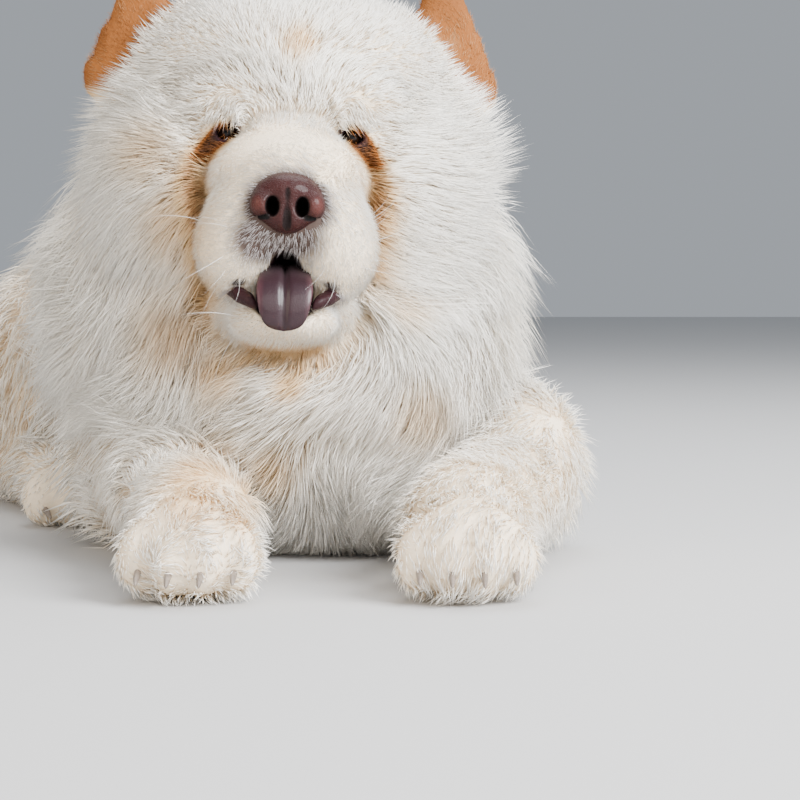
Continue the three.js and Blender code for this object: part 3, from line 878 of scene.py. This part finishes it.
COAT = {  # where each part grows, how many locks of what kind, the solids it stands for, and their finish
    "coat_muzzle": (is_muzzle, 31000, VELVET, "muzzle lower_jaw", "coat_pale"),
    "coat_head_left": (is_head * (on_head[:, 0] > 0), 17500, HEAD_HAIR, "head", "coat_cream"),
    "coat_head_right": (is_head * (on_head[:, 0] <= 0), 17500, HEAD_HAIR, "head", "coat_cream"),
    "coat_chest": (is_mane & (np.abs(mane_way) < CHEST_HALF), 12300, MANE_HAIR, "chest", "coat_cream"),
    "coat_mane_left": (is_mane & (mane_way >= CHEST_HALF), 9700, MANE_HAIR, "neck chest", "coat_cream"),
    "coat_mane_right": (is_mane & (mane_way <= -CHEST_HALF), 9700, MANE_HAIR, "neck chest", "coat_cream"),
    "coat_trunk": (is_trunk & (along_spine < LOIN_LINE), 9600, BODY_HAIR, "trunk", "coat_cream"),
    "coat_rump": (is_trunk & (along_spine >= LOIN_LINE), 7000, BODY_HAIR, "rump", "coat_cream"),
    "coat_tail": (part_of == "tail", 4300, PLUME, "tail", "coat_cream"),
    **{
        f"coat_foreleg_{name}": (
            part_of == f"foreleg_{name}", 8000, LEG_HAIR, f"foreleg_{name} forepaw_{name}", "coat_pale"
        )
        for name in SIDES
    },
    "coat_hindlegs": (
        np.char.startswith(part_of, "hindleg"), 7500, FEATHERS,
        "thigh_left thigh_right hindpaw_left hindpaw_right", "coat_cream",
    ),
    "coat_ears": (np.char.startswith(part_of, "ear"), 12500, EAR_HAIR, "ear_left ear_right", "coat_tan"),
}

# %% Growing a part
THINNED = 0.65  # how much of the hair is missing where the skin shows
LONGER = 0.6  # how much longer the hair that is left there grows
UNEVEN = 0.11  # how far lengths wander, as a coat that moves and parts does
SHORTEST = 3.0
BY_LID, ON_BROW = 0.16, 0.8  # how long hair is beside an eye and on the brow, of its full length
BURIED = 0.4  # how far under the skin a root is


def grow(name, number, where, count, width, rise, most, **kind):
    """One part of the coat: locks with their roots spread over some of the skin."""
    rng = np.random.default_rng(SEED + number)
    chance = half_area * where * hairy * (1 - THINNED * half_bare)
    picked = rng.choice(len(chance), count, p=chance / chance.sum())
    mix = rng.dirichlet((1, 1, 1), count)[:, :, None]
    roots, uv = (halves[picked] * mix).sum(1), (half_uv[picked] * mix).sum(1)
    normals = unit((half_normals[picked] * mix).sum(1))
    skin_roots = roots.astype(np.float32)
    head = to_head(skin_roots)
    depth = np.clip(coat_depth(skin_roots), 1.5, 80)
    tilt = sum(math.sin(math.radians(angle)) for angle in rise) / 2
    lengths = np.clip(depth / tilt, SHORTEST, most) * rng.uniform(0.6, 1.06, count)
    lengths *= 1 + LONGER * half_bare[picked]
    lengths *= 1 + UNEVEN * wander(roots, 20, SEED + 7)[:, 0]
    away = fade(eye_distance(head), 9, 24)
    lengths *= np.maximum(BY_LID + (1 - BY_LID) * away, ON_BROW * over_eye(head))
    widths = width * rng.uniform(0.7, 1.35, count)
    runs = comb(skin_roots, normals)
    buried = roots - normals * BURIED
    piece, per_lock = locks(name, buried, normals, runs, lengths, widths, rise, uv=uv, rng=rng, **kind)
    tan, bare = markings(skin_roots)
    # hair next to the eyes is not silver, so the tear stain and painted shade show on it
    bare *= fade(eye_distance(head), 12, 17)
    paint(piece, shade=np.repeat(rng.uniform(0, 1, count), per_lock))
    places = np.empty(len(piece.data.vertices) * 3, np.float32)
    piece.data.vertices.foreach_get("co", places)
    tan = np.where(folds(skin_roots) > 0.02, 0, tan)  # the tan and painted shade in front go by place, not by root
    tan = np.maximum(np.repeat(tan, per_lock), folds(places.reshape(-1, 3) / MM))
    paint(piece, tan=tan, bare=np.repeat(bare, per_lock))
    triangles = count * (6 * kind["segments"] - 2)
    print(name, count, "locks,", triangles, "triangles, mean length", round(float(lengths.mean()), 1))
    return piece, triangles


# %% The coat, part by part
coat = {}
coat_triangles = 0
for number, (name, (where, count, kind, *_)) in enumerate(COAT.items()):
    coat[name], used = grow(name, number, where, count, **kind)
    coat_triangles += used
print("coat", coat_triangles, "triangles")

# %% [markdown]
# ## The nose
#
# The nose leather is a rounded pad with two comma-shaped nostrils, fleshy wings beside them, and a groove
# down the middle that runs on as the split of the upper lip. It could be part of the skin, but it has no
# hair and needs finer detail, so it is a field of its own on a grid of under a millimetre.

# %% The nose leather
SLIT_LINE = ((9, -91, -53.5), (13, -87, -56.5), (19, -81, -55.5))  # from a nostril out and back
NOSE_STEP = 0.9  # of its grid
nose_body = blend(
    7,
    ball((0, -72, -40), (20, 17, 13)),
    *pair((14.5, -76, -48), (9, 12, 10)),
    ball((0, -78, -55), (14, 11, 11)),
)
wings = pair((16.5, -82.5, -48), (6.0, 6.5, 6.6))
nostrils = pair((9.4, -92, -49), (4.0, 17, 6.2))
slits = [
    limb([(side * x, y, z) for x, y, z in SLIT_LINE], (2.4, 1.7, 1.2), 4) for side in (1, -1)
]
groove = limb([(0, -89.3, -38), (0, -90, -50), (0, -88, -61), (0, -84, -70)], (1.2, 2.2, 2.6, 2.6), 8)


# %% The leather as a mesh
def nose_field(p):
    head = to_head(p)
    pad = blend(5, nose_body, *wings)(head)
    for hollow, size in [(h, 2.5) for h in nostrils] + [(s, 1.6) for s in slits] + [(groove, 1.4)]:
        pad = -soft_min(-pad, hollow(head), size)
    return pad


def box_lines(middle, half, step):
    """Grid lines over a box in the dog's frame."""
    return tuple(np.arange(m - h, m + h + step, step, dtype=np.float32) for m, h in zip(middle, half))


nose_lines = box_lines(from_head((0, -74, -50)), (27, 26, 26), NOSE_STEP)
nose_points, nose_squares = surface_nets(nose_field, nose_lines)
nose_points = settle(nose_field, nose_points, 0.6)
nose = mesh_object("nose_leather", nose_points, [nose_squares])
nose_head = to_head(nose_points)
# the front of each wing is pinker and lighter: its own fleshy pink with a painted highlight
wing_glow = fade(np.min([w(nose_head) for w in wings], 0), 1.5, -0.5) * fade(nose_head[:, 1], -82, -88)
# the nostrils, the slits and the groove are painted near black: painted shade in the hollows
hole = np.min([h(nose_head) for h in nostrils + slits], 0)
groove_shade = 0.85 * fade(groove(nose_head), 0.8, 0.0)
paint(nose, wing=wing_glow, hole=np.maximum(fade(hole, 1.2, 0.4), groove_shade))
print("nose", len(nose_squares), "squares")

# %% [markdown]
# ## The tongue
#
# The tongue is blue-mauve, which marks the breed. It lies in the jaw, comes forward over the lower lip and
# hangs down. It is swept along its middle line, with a flat section that has a groove down the middle,
# since a sweep keeps its edge even where a blend of balls would be lumpy.

# %% The tongue
TONGUE_LINE = [  # back and up in the head's frame, from the root to the tip
    (-8, -92), (-38, -90), (-60, -92), (-75, -98), (-82, -109), (-83.5, -121), (-82.5, -127)
]
TONGUE_HALF = 18.0
around, runs_out = 48, 44
middle_line = curve_through([(0, y, z) for y, z in TONGUE_LINE], runs_out)
line_way = unit(np.gradient(middle_line, axis=0))
tongue_up = np.cross(np.array([[1.0, 0, 0]]), line_way) * -1
t = np.linspace(0, 1, runs_out)
tip = np.sqrt(np.clip(1 - ((t - 0.52) / 0.48).clip(0, 1) ** 1.8, 0.0008, 1))
root = np.sqrt(np.clip(t / 0.06, 0.002, 1))
half_width = TONGUE_HALF * (0.82 + 0.18 * fade(t, 0.2, 0.6)) * tip * root
half_thick = np.interp(t, [0, 0.5, 1], [6.0, 4.4, 2.4]) * tip**0.5 * root
ring_angle = np.arange(around) * 2 * math.pi / around
sin_a = np.sin(ring_angle)
x = np.cos(ring_angle)[None, :] * half_width[:, None]
lift = np.sign(sin_a) * np.abs(sin_a) ** 0.8 * half_thick[:, None]
dip = 3.6 * np.exp(-((x / 1.6) ** 2)) * (sin_a > 0) * np.minimum(half_thick[:, None] / 4, 1)
curl = 1.6 * (x / TONGUE_HALF) ** 2
tongue_rings = middle_line[:, None] + np.array((1.0, 0, 0)) * x[..., None]
tongue_rings = tongue_rings + tongue_up[:, None] * (lift - dip + curl)[..., None]
tongue_squares = tube_squares(runs_out, around)
tongue_faces = [tongue_squares, tube_ends(runs_out, around)]
tongue = mesh_object("tongue_flesh", from_head(tongue_rings.reshape(-1, 3)), tongue_faces)
# the back of the tongue, inside the mouth, is darker: painted shade
paint(tongue, depth_in=np.repeat(fade(t, 0.62, 0.3), around), edge=np.abs(x / TONGUE_HALF).ravel())
print("tongue", len(tongue_squares), "squares")

# %% [markdown]
# ## The eyes
#
# A dog's eye is nearly all iris between its lids. A clear cornea could be laid over a hollow iris, but
# between such narrow lids only a wet dark ball shows. So it is a ball with a slight bulge in front, and
# how far each point is from the front decides pupil, iris and white.

# %% Eyeballs
BULGE, BULGE_HALF = 0.7, 0.55  # how far the front stands out, and how wide that is in radians
LID_GAP = 0.25  # between the ball and the lids


def eyeball(name, middle, gaze, rings=30, around=36):
    angle = np.linspace(0, math.pi, rings)
    radius = EYE_RADIUS + BULGE * np.exp(-((angle / BULGE_HALF) ** 4)) - LID_GAP
    forward = unit(np.array([gaze]))[0]
    side = unit(np.cross([forward], [(0, 0, 1.0)]))[0]
    up = np.cross(side, forward)
    turn = np.arange(around) * 2 * math.pi / around
    spoke = np.cos(turn)[:, None] * side + np.sin(turn)[:, None] * up
    inner = angle[1:-1]
    ahead, out = (turned(inner) * radius[1:-1] for turned in (np.cos, np.sin))
    shell = ahead[:, None, None] * forward + out[:, None, None] * spoke
    points = np.concatenate([shell.reshape(-1, 3), [forward * radius[0]], [-forward * radius[-1]]]) + middle
    squares = tube_squares(rings - 2, around)[:, [0, 3, 2, 1]]
    front, last_ring = (rings - 2) * around, (rings - 3) * around
    j = np.arange(around)
    following = (j + 1) % around
    front_cap = np.stack([np.full(around, front), j, following], 1)
    rear_cap = np.stack([np.full(around, front + 1), last_ring + following, last_ring + j], 1)
    made = mesh_object(name, points, [squares, front_cap, rear_cap])
    paint(made, from_front=np.append(np.repeat(inner, around), [0, math.pi]))
    return made


eyes = {
    side: eyeball(f"eyeball_{side}", np.array(middle), np.array((0.03, -1.0, 0.02)))
    for side, middle in zip(("left", "right"), eye_middles)
}
print("eyeballs at", [tuple(round(c, 1) for c in m) for m in eye_middles])

# %% [markdown]
# ## Claws
#
# Each toe ends in a blunt curved horn that shows through the hair. The solids' own claws could be kept,
# but theirs are plain. A finer one is swept forwards and down through the middle of each of their boxes.


# %% Claws
def claw_points(low, high, turn, rings=9, around=10):
    """A curved horn in a box, as rings of points."""
    ahead = np.array((math.sin(turn), -math.cos(turn), 0))
    middle = np.array([(low[0] + high[0]) / 2, (low[1] + high[1]) / 2, 0])
    reach = 9.5
    t = np.linspace(0, 1, rings)
    top, bottom = high[2] - 6, low[2] + 0.5
    spine = middle + ahead * ((t - 0.5) * 2 * reach)[:, None]
    spine[:, 2] = top - (top - bottom) * t**1.8
    way = unit(np.gradient(spine, axis=0))
    side = np.array((math.cos(turn), math.sin(turn), 0))
    up = np.cross(side, way)
    angle = np.arange(around) * 2 * math.pi / around
    thick = 2.8 * np.sqrt(np.clip(1 - t**2.2, 0.01, 1))
    ring = np.cos(angle)[None, :, None] * side * 0.8 + np.sin(angle)[None, :, None] * up[:, None]
    return spine[:, None] + ring * thick[:, None, None]


def claws_of(paw, turn):
    points, squares, caps = [], [], []
    for toe in range(1, TOES + 1):
        low, high = (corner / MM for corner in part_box(f"claw_{paw}_{toe}"))
        rings = claw_points(low, high, turn)
        n, around = rings.shape[:2]
        base = len(points) * n * around
        squares.append(tube_squares(n, around) + base)
        caps.append(tube_ends(n, around) + base)
        points.append(rings.reshape(-1, 3))
    faces = [np.concatenate(squares), np.concatenate(caps)]
    made = mesh_object(f"claws_{paw}", np.concatenate(points), faces)
    print(made.name, len(made.data.polygons), "faces")
    return made


claws = {}
for side in SIDES:
    claws[f"forepaw_{side}"] = claws_of(f"forepaw_{side}", 0)
    claws[f"hindpaw_{side}"] = claws_of(f"hindpaw_{side}", SPINE_TURN)

# %% [markdown]
# ## Whiskers
#
# A few stiff white whiskers stand out of each lip. They could be modelled one by one, but they repeat over
# a surface, so they are made with Geometry Nodes: a tapered, bent tube is set on points of the lip, turned
# along its normal, and made mesh.


# %% Nodes with their sockets filled
def add_node(tree, kind, sockets, settings):
    """A node, with its inputs joined to other sockets or set to constants."""
    made = tree.nodes.new(kind)
    for key, value in settings.items():
        setattr(made, key, value)
    for key, value in sockets.items():
        if isinstance(value, bpy.types.NodeSocket):
            tree.links.new(value, made.inputs[key])
        else:
            made.inputs[key].default_value = value
    return made


# %% A whisker on every point
def whisker_tree():
    tree = bpy.data.node_groups.new("whiskers", "GeometryNodeTree")
    face = tree.interface
    face.new_socket("Geometry", in_out="INPUT", socket_type="NodeSocketGeometry")
    for socket, value in (("Length", 0.036), ("Thickness", 0.00016), ("Droop", 0.35)):
        face.new_socket(socket, in_out="INPUT", socket_type="NodeSocketFloat").default_value = value
    face.new_socket("Finish", in_out="INPUT", socket_type="NodeSocketMaterial")
    face.new_socket("Geometry", in_out="OUTPUT", socket_type="NodeSocketGeometry")

    def node(kind, sockets, **settings):
        return add_node(tree, kind, sockets, settings)

    def maths(operation, a, b):
        return node("ShaderNodeMath", {0: a, 1: b}, operation=operation).outputs[0]

    given = node("NodeGroupInput", {}).outputs
    bends = {}
    for key, sideways, way in (("Middle", 0.0, 0.5), ("End", 1.0, 1.0)):
        reach = maths("MULTIPLY", maths("MULTIPLY", given["Droop"], -sideways), given["Length"])
        place = node("ShaderNodeCombineXYZ", {"X": reach, "Z": maths("MULTIPLY", given["Length"], way)})
        bends[key] = place.outputs[0]
    arc = node("GeometryNodeCurveQuadraticBezier", {"Resolution": 7, "Start": (0, 0, 0), **bends})
    ring = node("GeometryNodeCurvePrimitiveCircle", {"Resolution": 5, "Radius": given["Thickness"]})
    taper = maths("SUBTRACT", 1.05, node("GeometryNodeSplineParameter", {}).outputs["Factor"])
    path = {"Curve": arc.outputs[0], "Profile Curve": ring.outputs["Curve"]}
    tube = node("GeometryNodeCurveToMesh", {**path, "Scale": taper, "Fill Caps": True})
    lie = node("GeometryNodeInputNormal", {})
    align = node("FunctionNodeAlignRotationToVector", {"Vector": lie.outputs[0]}, axis="Z")
    grown = node("FunctionNodeRandomValue", {2: 0.55, 3: 1.15, "Seed": SEED}, data_type="FLOAT")
    order = node("GeometryNodeInputIndex", {}).outputs[0]
    first_corner = maths("LESS_THAN", maths("MODULO", order, 3.0), 0.5)
    spread = node(
        "GeometryNodeInstanceOnPoints",
        {
            "Points": given["Geometry"],
            "Selection": first_corner,
            "Instance": tube.outputs[0],
            "Rotation": align.outputs[0],
            "Scale": grown.outputs[1],
        },
    )
    real = node("GeometryNodeRealizeInstances", {0: spread.outputs[0]})
    dress = node("GeometryNodeSetMaterial", {"Geometry": real.outputs[0], "Material": given["Finish"]})
    node("NodeGroupOutput", {0: dress.outputs[0]})
    return tree


# %% [markdown]
# ## Shader maths
#
# A finish mixes colours by the numbers stored on the hair. Its nodes could be laid out one by one, but
# sums are easier to read as sums. One class wraps a socket, so that they can be written so, and another
# makes every other node.


# %% Sums of sockets
class Wire:
    """A socket. Each sum written with it adds a Math node."""

    def __init__(self, finish, socket):
        self.finish, self.socket = finish, socket

    def sum(self, operation, *terms):
        made = self.finish.node("ShaderNodeMath", dict(enumerate(terms)), operation=operation)
        return Wire(self.finish, made.outputs[0])

    def __add__(self, other):
        return self.sum("ADD", self, other)

    def __sub__(self, other):
        return self.sum("SUBTRACT", self, other)

    def __rsub__(self, other):
        return self.sum("SUBTRACT", other, self)

    def __mul__(self, other):
        return self.sum("MULTIPLY", self, other)

    __radd__, __rmul__ = __add__, __mul__

    def clamped(self):
        return self.sum("MINIMUM", self.sum("MAXIMUM", self, 0.0), 1.0)


# %% A finish
class Finish:
    """A material of this dog, with a Principled shader."""

    def __init__(self, name, **constants):
        self.material = bpy.data.materials.new(name)
        self.material.use_nodes = True
        self.tree = self.material.node_tree
        self.tree.nodes.clear()
        inputs = {key.replace("_", " "): value for key, value in constants.items()}
        self.shader = self.node("ShaderNodeBsdfPrincipled", inputs)
        self.node("ShaderNodeOutputMaterial", {"Surface": self.shader.outputs[0]})

    def node(self, kind, sockets, **settings):
        plain = {key: value.socket if isinstance(value, Wire) else value for key, value in sockets.items()}
        return add_node(self.tree, kind, plain, settings)

    def number(self, name):
        """A number stored on the piece."""
        return Wire(self, self.node("ShaderNodeAttribute", {}, attribute_name=name).outputs["Fac"])

    def mix(self, factor, a, b):
        """Colour a where the factor is 0, and b where it is 1."""
        made = self.node("ShaderNodeMix", {0: factor, 6: a, 7: b}, data_type="RGBA")
        return Wire(self, made.outputs[2])

    def place(self):
        return self.node("ShaderNodeTexCoord", {}).outputs["Object"]

    def noise(self, scale, detail=2.0):
        made = self.node("ShaderNodeTexNoise", {"Vector": self.place(), "Scale": scale, "Detail": detail})
        return Wire(self, made.outputs["Fac"])

    def bump(self, height, distance, strength=1.0):
        made = self.node("ShaderNodeBump", {"Height": height, "Distance": distance, "Strength": strength})
        self.set("Normal", Wire(self, made.outputs[0]))

    def set(self, socket, wire):
        self.tree.links.new(wire.socket, self.shader.inputs[socket])


# %% [markdown]
# ## The coat's finish
#
# Each hair is warmer and darker at its root and whiter at its tip, and no two are quite alike. The darker
# root is partly painted shade, the warm shade deep in the coat. Where the skin is bare below, the hair is
# thin and silver. A hair shader would let light through, but it is lost when the colours are baked, so a
# rough plain surface is used, and its colours carry the warmth.

# %% Colours of the coat
# the root colour is the hair's own warmer tone and painted shade deep in the coat
CREAM_ROOT_AND_SHADE = (0.92, 0.73, 0.49, 1)
CREAM_TIP = (0.985, 0.95, 0.875, 1)
TAN_ROOT = (0.23, 0.080, 0.020, 1)
TAN_TIP = (0.44, 0.142, 0.020, 1)
GOLD = (0.84, 0.60, 0.33, 1)
# dark brown where the tan is strongest: tear stains, and painted shade round the eyes
STAIN_AND_SHADE_BROWN = (0.040, 0.020, 0.013, 1)
SILVER = (0.40, 0.37, 0.375, 1)
BARE_SKIN = (0.026, 0.010, 0.012, 1)


def coat_colour(finish):
    along, shade = finish.number("along"), finish.number("shade")
    tan, bare = finish.number("tan"), finish.number("bare")
    cream = finish.mix((along * 1.5 + shade * 0.25).clamped(), CREAM_ROOT_AND_SHADE, CREAM_TIP)
    orange = finish.mix(along, TAN_ROOT, TAN_TIP)
    blotch = finish.noise(22.0)
    amount = tan * (0.7 + blotch * 0.6) * (1.15 - along * 0.35)
    golden = finish.mix((amount * 2.0).clamped(), cream, GOLD)
    tanned = finish.mix((amount * 2.0 - 1.0).clamped(), golden, orange)
    return finish.mix((amount - 1.0).clamped(), tanned, STAIN_AND_SHADE_BROWN), bare


def make_fur():
    fur = Finish("cream fur", Roughness=0.62, Specular_IOR_Level=0.25)
    colour, bare = coat_colour(fur)
    fur.set("Base Color", fur.mix((bare * 0.95).clamped(), colour, SILVER))
    return fur.material


def make_hide():
    hide = Finish("hide under the fur", Roughness=0.7, Specular_IOR_Level=0.12)
    # with along at 0.12 on the skin, the hide has the darker root colour, painted shade between the locks
    colour, bare = coat_colour(hide)
    grain = hide.noise(420.0, 3.0)
    hide.set("Base Color", hide.mix(bare, colour, BARE_SKIN))
    hide.set("Roughness", 0.75 - bare * 0.35)
    hide.bump(grain, 0.0006)
    return hide.material


# %% [markdown]
# ## The bare parts' finishes
#
# The nose is moist leather with a pebbled grain. The tongue is wet and fine grained. The eyes are dark and
# glassy, and the claws are horn. The grains are bumps in the finish, because they are too fine to model.


# %% The nose's and the tongue's finishes
def make_nose_leather():
    leather = Finish("moist nose leather", Specular_IOR_Level=0.14, Coat_Weight=0.14, Coat_Roughness=0.14)
    grid = {"Vector": leather.place(), "Scale": 620.0}
    cells = leather.node("ShaderNodeTexVoronoi", grid, feature="DISTANCE_TO_EDGE")
    pebble = (Wire(leather, cells.outputs["Distance"]) * 4.0).clamped()
    patchy = leather.noise(90.0)
    mauve = leather.mix(patchy, (0.018, 0.0036, 0.0034, 1), (0.042, 0.0105, 0.0100, 1))
    # the wings' own pink, lighter at the front as a painted highlight
    fleshy_and_highlit = leather.mix(leather.number("wing"), mauve, (0.12, 0.034, 0.026, 1))
    # near black in the holes and the groove: painted shade
    leather.set("Base Color", leather.mix(leather.number("hole"), fleshy_and_highlit, (0.003, 0.002, 0.002, 1)))
    leather.set("Roughness", 0.34 + patchy * 0.2 + leather.number("hole") * 0.5)
    leather.bump(pebble, 0.00035, 0.7)
    return leather.material


# a black without reflection inside each nostril: painted shade
def make_nostril_shade():
    dark = (0.004, 0.002, 0.002, 1)
    return Finish("painted shade inside a nostril", Base_Color=dark, Roughness=1.0, Specular_IOR_Level=0.0).material


def make_tongue_flesh():
    flesh = Finish("blue mauve tongue", Specular_IOR_Level=0.3, Coat_Weight=0.2, Coat_Roughness=0.12)
    grain = flesh.noise(900.0, 2.0)
    patchy = flesh.noise(60.0)
    body_colour = flesh.mix(patchy, (0.013, 0.0036, 0.0062, 1), (0.025, 0.0080, 0.0130, 1))
    rim = flesh.mix(((flesh.number("edge") - 0.7) * 2.2).clamped(), body_colour, (0.085, 0.026, 0.035, 1))
    # darker towards the back inside the mouth: painted shade
    flesh.set("Base Color", flesh.mix(flesh.number("depth_in"), rim, (0.02, 0.009, 0.012, 1)))
    flesh.set("Roughness", 0.28 + patchy * 0.2 + flesh.number("depth_in") * 0.5)
    flesh.bump(grain, 0.0003, 0.6)
    return flesh.material


# %% Eyes, claws and whiskers
def make_eye():
    eye = Finish("dark brown eye", Roughness=0.12, Specular_IOR_Level=0.22)
    far = eye.number("from_front")
    iris = eye.mix(eye.noise(700.0), (0.010, 0.004, 0.002, 1), (0.022, 0.009, 0.004, 1))
    pupil = eye.mix(((far - 0.24) * 20.0).clamped(), (0.003, 0.002, 0.002, 1), iris)
    eye.set("Base Color", eye.mix(((far - 0.66) * 10.0).clamped(), pupil, (0.02, 0.012, 0.01, 1)))
    return eye.material


def make_horn():
    horn = Finish("claw horn", Roughness=0.4, Specular_IOR_Level=0.5)
    streaks = horn.noise(260.0)
    horn.set("Base Color", horn.mix(streaks, (0.10, 0.075, 0.06, 1), (0.30, 0.25, 0.21, 1)))
    return horn.material


def make_whisker():
    return Finish("whisker", Base_Color=(0.85, 0.83, 0.80, 1), Roughness=0.35).material


# %% Each piece takes its finish
NOSTRIL_WALL = 0.35  # how far from a nostril's field its own wall can lie
NOSTRIL_FRONT = -87  # where the painted shade inside starts, in the head's frame
dressed = [([nose], make_nose_leather()), ([nose], make_nostril_shade()), ([tongue], make_tongue_flesh())]
dressed += [([skin], make_hide()), (coat.values(), make_fur())]
dressed += [(eyes.values(), make_eye()), (claws.values(), make_horn())]
for pieces, finish in dressed:
    for piece in pieces:
        piece.data.materials.append(finish)
nose_middles = to_head(nose_points[nose_squares].mean(1))
deep_in = np.min([h(nose_middles) for h in nostrils], 0) < NOSTRIL_WALL
deep_in &= nose_middles[:, 1] > NOSTRIL_FRONT
nose.data.polygons.foreach_set("material_index", deep_in.astype(np.int32))

# %% Whiskers grown on the lips
WHISKERS = 22
whisker_rng = np.random.default_rng(SEED + 50)
out, back, up = np.abs(on_head[:, 0]), on_head[:, 1], on_head[:, 2]
on_lip = hairy & is_muzzle & (out > 26) & (up < -56) & (back < -38)
whisker_roots = whisker_rng.choice(np.flatnonzero(on_lip), WHISKERS, replace=False)
whisker_faces = np.arange(3 * WHISKERS).reshape(-1, 3)
whiskers = mesh_object("whiskers", halves[whisker_roots].reshape(-1, 3), [whisker_faces])
flats = whiskers.modifiers.new("whiskers", "NODES")
flats.node_group = whisker_tree()
sockets = {s.name: s.identifier for s in flats.node_group.interface.items_tree if s.in_out == "INPUT"}
flats[sockets["Finish"]] = make_whisker()
grown_mesh = bpy.data.meshes.new_from_object(whiskers.evaluated_get(bpy.context.evaluated_depsgraph_get()))
whiskers.modifiers.clear()
whiskers.data = grown_mesh
print("whiskers", len(grown_mesh.polygons), "faces")

# %% [markdown]
# ## Standing in for the solids
#
# Every piece hides the solids that it stands for. Nothing of the dog moves, so all of it rides on one body.
# The skin stands for all the flesh, and the coat over each part stands for that part too.

# %% What each piece is
FLESH = "head muzzle lower_jaw ear_left ear_right neck chest trunk rump tail foreleg_left foreleg_right"
FLESH += " forepaw_left forepaw_right thigh_left thigh_right hindpaw_left hindpaw_right"


def stands_for(piece, nodes, slot):
    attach(piece, "root")
    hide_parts(*nodes.split())


stands_for(skin, FLESH, "coat_cream")
for name, piece in coat.items():
    stands_for(piece, *COAT[name][3:])
stands_for(nose, "nose", "nose_leather")
stands_for(tongue, "tongue", "tongue")
stands_for(whiskers, "muzzle", "coat_pale")
for side, piece in eyes.items():
    stands_for(piece, f"eye_{side}", "eye")
for paw, piece in claws.items():
    stands_for(piece, " ".join(f"claw_{paw}_{toe}" for toe in range(1, TOES + 1)), "claw_horn")
print(len(coat) + len(eyes) + len(claws) + 4, "pieces")

# %% [markdown]
# ## Floor, light and camera
#
# A pale floor and soft light, brighter and cooler from the right of the picture. The camera is level with
# the muzzle and looks a little down, with a long lens.

# %% Floor
floor_mesh = bpy.data.meshes.new("floor")
REACH = 6.0
floor_corners = [(x * REACH, y * REACH, 0) for x, y in ((-1, -1), (1, -1), (1, 1), (-1, 1))]
floor_mesh.from_pydata(floor_corners, [], [(0, 1, 2, 3)])
floor = bpy.data.objects.new("floor", floor_mesh)
bpy.context.collection.objects.link(floor)
floor_mesh.materials.append(Finish("pale floor", Base_Color=(0.5, 0.5, 0.5, 1), Roughness=0.8).material)

# %% Lights
HEART = (-0.03, -0.05, 0.2)  # what the lights are turned to
LIGHTS = {  # place, size, power and colour
    "window": ((1.7, -1.5, 1.5), 1.8, 238, (0.98, 0.985, 1.0)),
    "room": ((-1.8, -1.4, 1.0), 2.0, 32, (1.0, 0.87, 0.71)),
    "front": ((0.2, -3.0, 1.3), 2.4, 42, (1.0, 0.95, 0.89)),
    "sky": ((0.2, 0.6, 2.2), 2.0, 60, (0.97, 0.98, 1.0)),
}
for name, (place, size, power, colour) in LIGHTS.items():
    data = bpy.data.lights.new(name, "AREA")
    data.shape, data.size, data.energy, data.color = "DISK", size, power, colour
    lamp = bpy.data.objects.new(name, data)
    lamp.location = place
    lamp.rotation_euler = (Vector(HEART) - Vector(place)).to_track_quat("-Z", "Y").to_euler()
    bpy.context.collection.objects.link(lamp)
world = bpy.data.worlds.new("room light")
world.use_nodes = True
world.node_tree.nodes["Background"].inputs["Color"].default_value = (0.40, 0.43, 0.47, 1)
world.node_tree.nodes["Background"].inputs["Strength"].default_value = 0.95
bpy.context.scene.world = world

# %% Camera
CAMERA_PLACE = (0.0426, -1.74, 0.205)
CAMERA_TILT = math.radians(3.5)  # downwards
camera_data = bpy.data.cameras.new("camera")
camera_data.lens, camera_data.sensor_width = 108.0, 36.0
camera = bpy.data.objects.new("camera", camera_data)
camera.location = CAMERA_PLACE
camera.rotation_euler = (math.pi / 2 - CAMERA_TILT, 0, 0)
bpy.context.collection.objects.link(camera)
bpy.context.scene.camera = camera
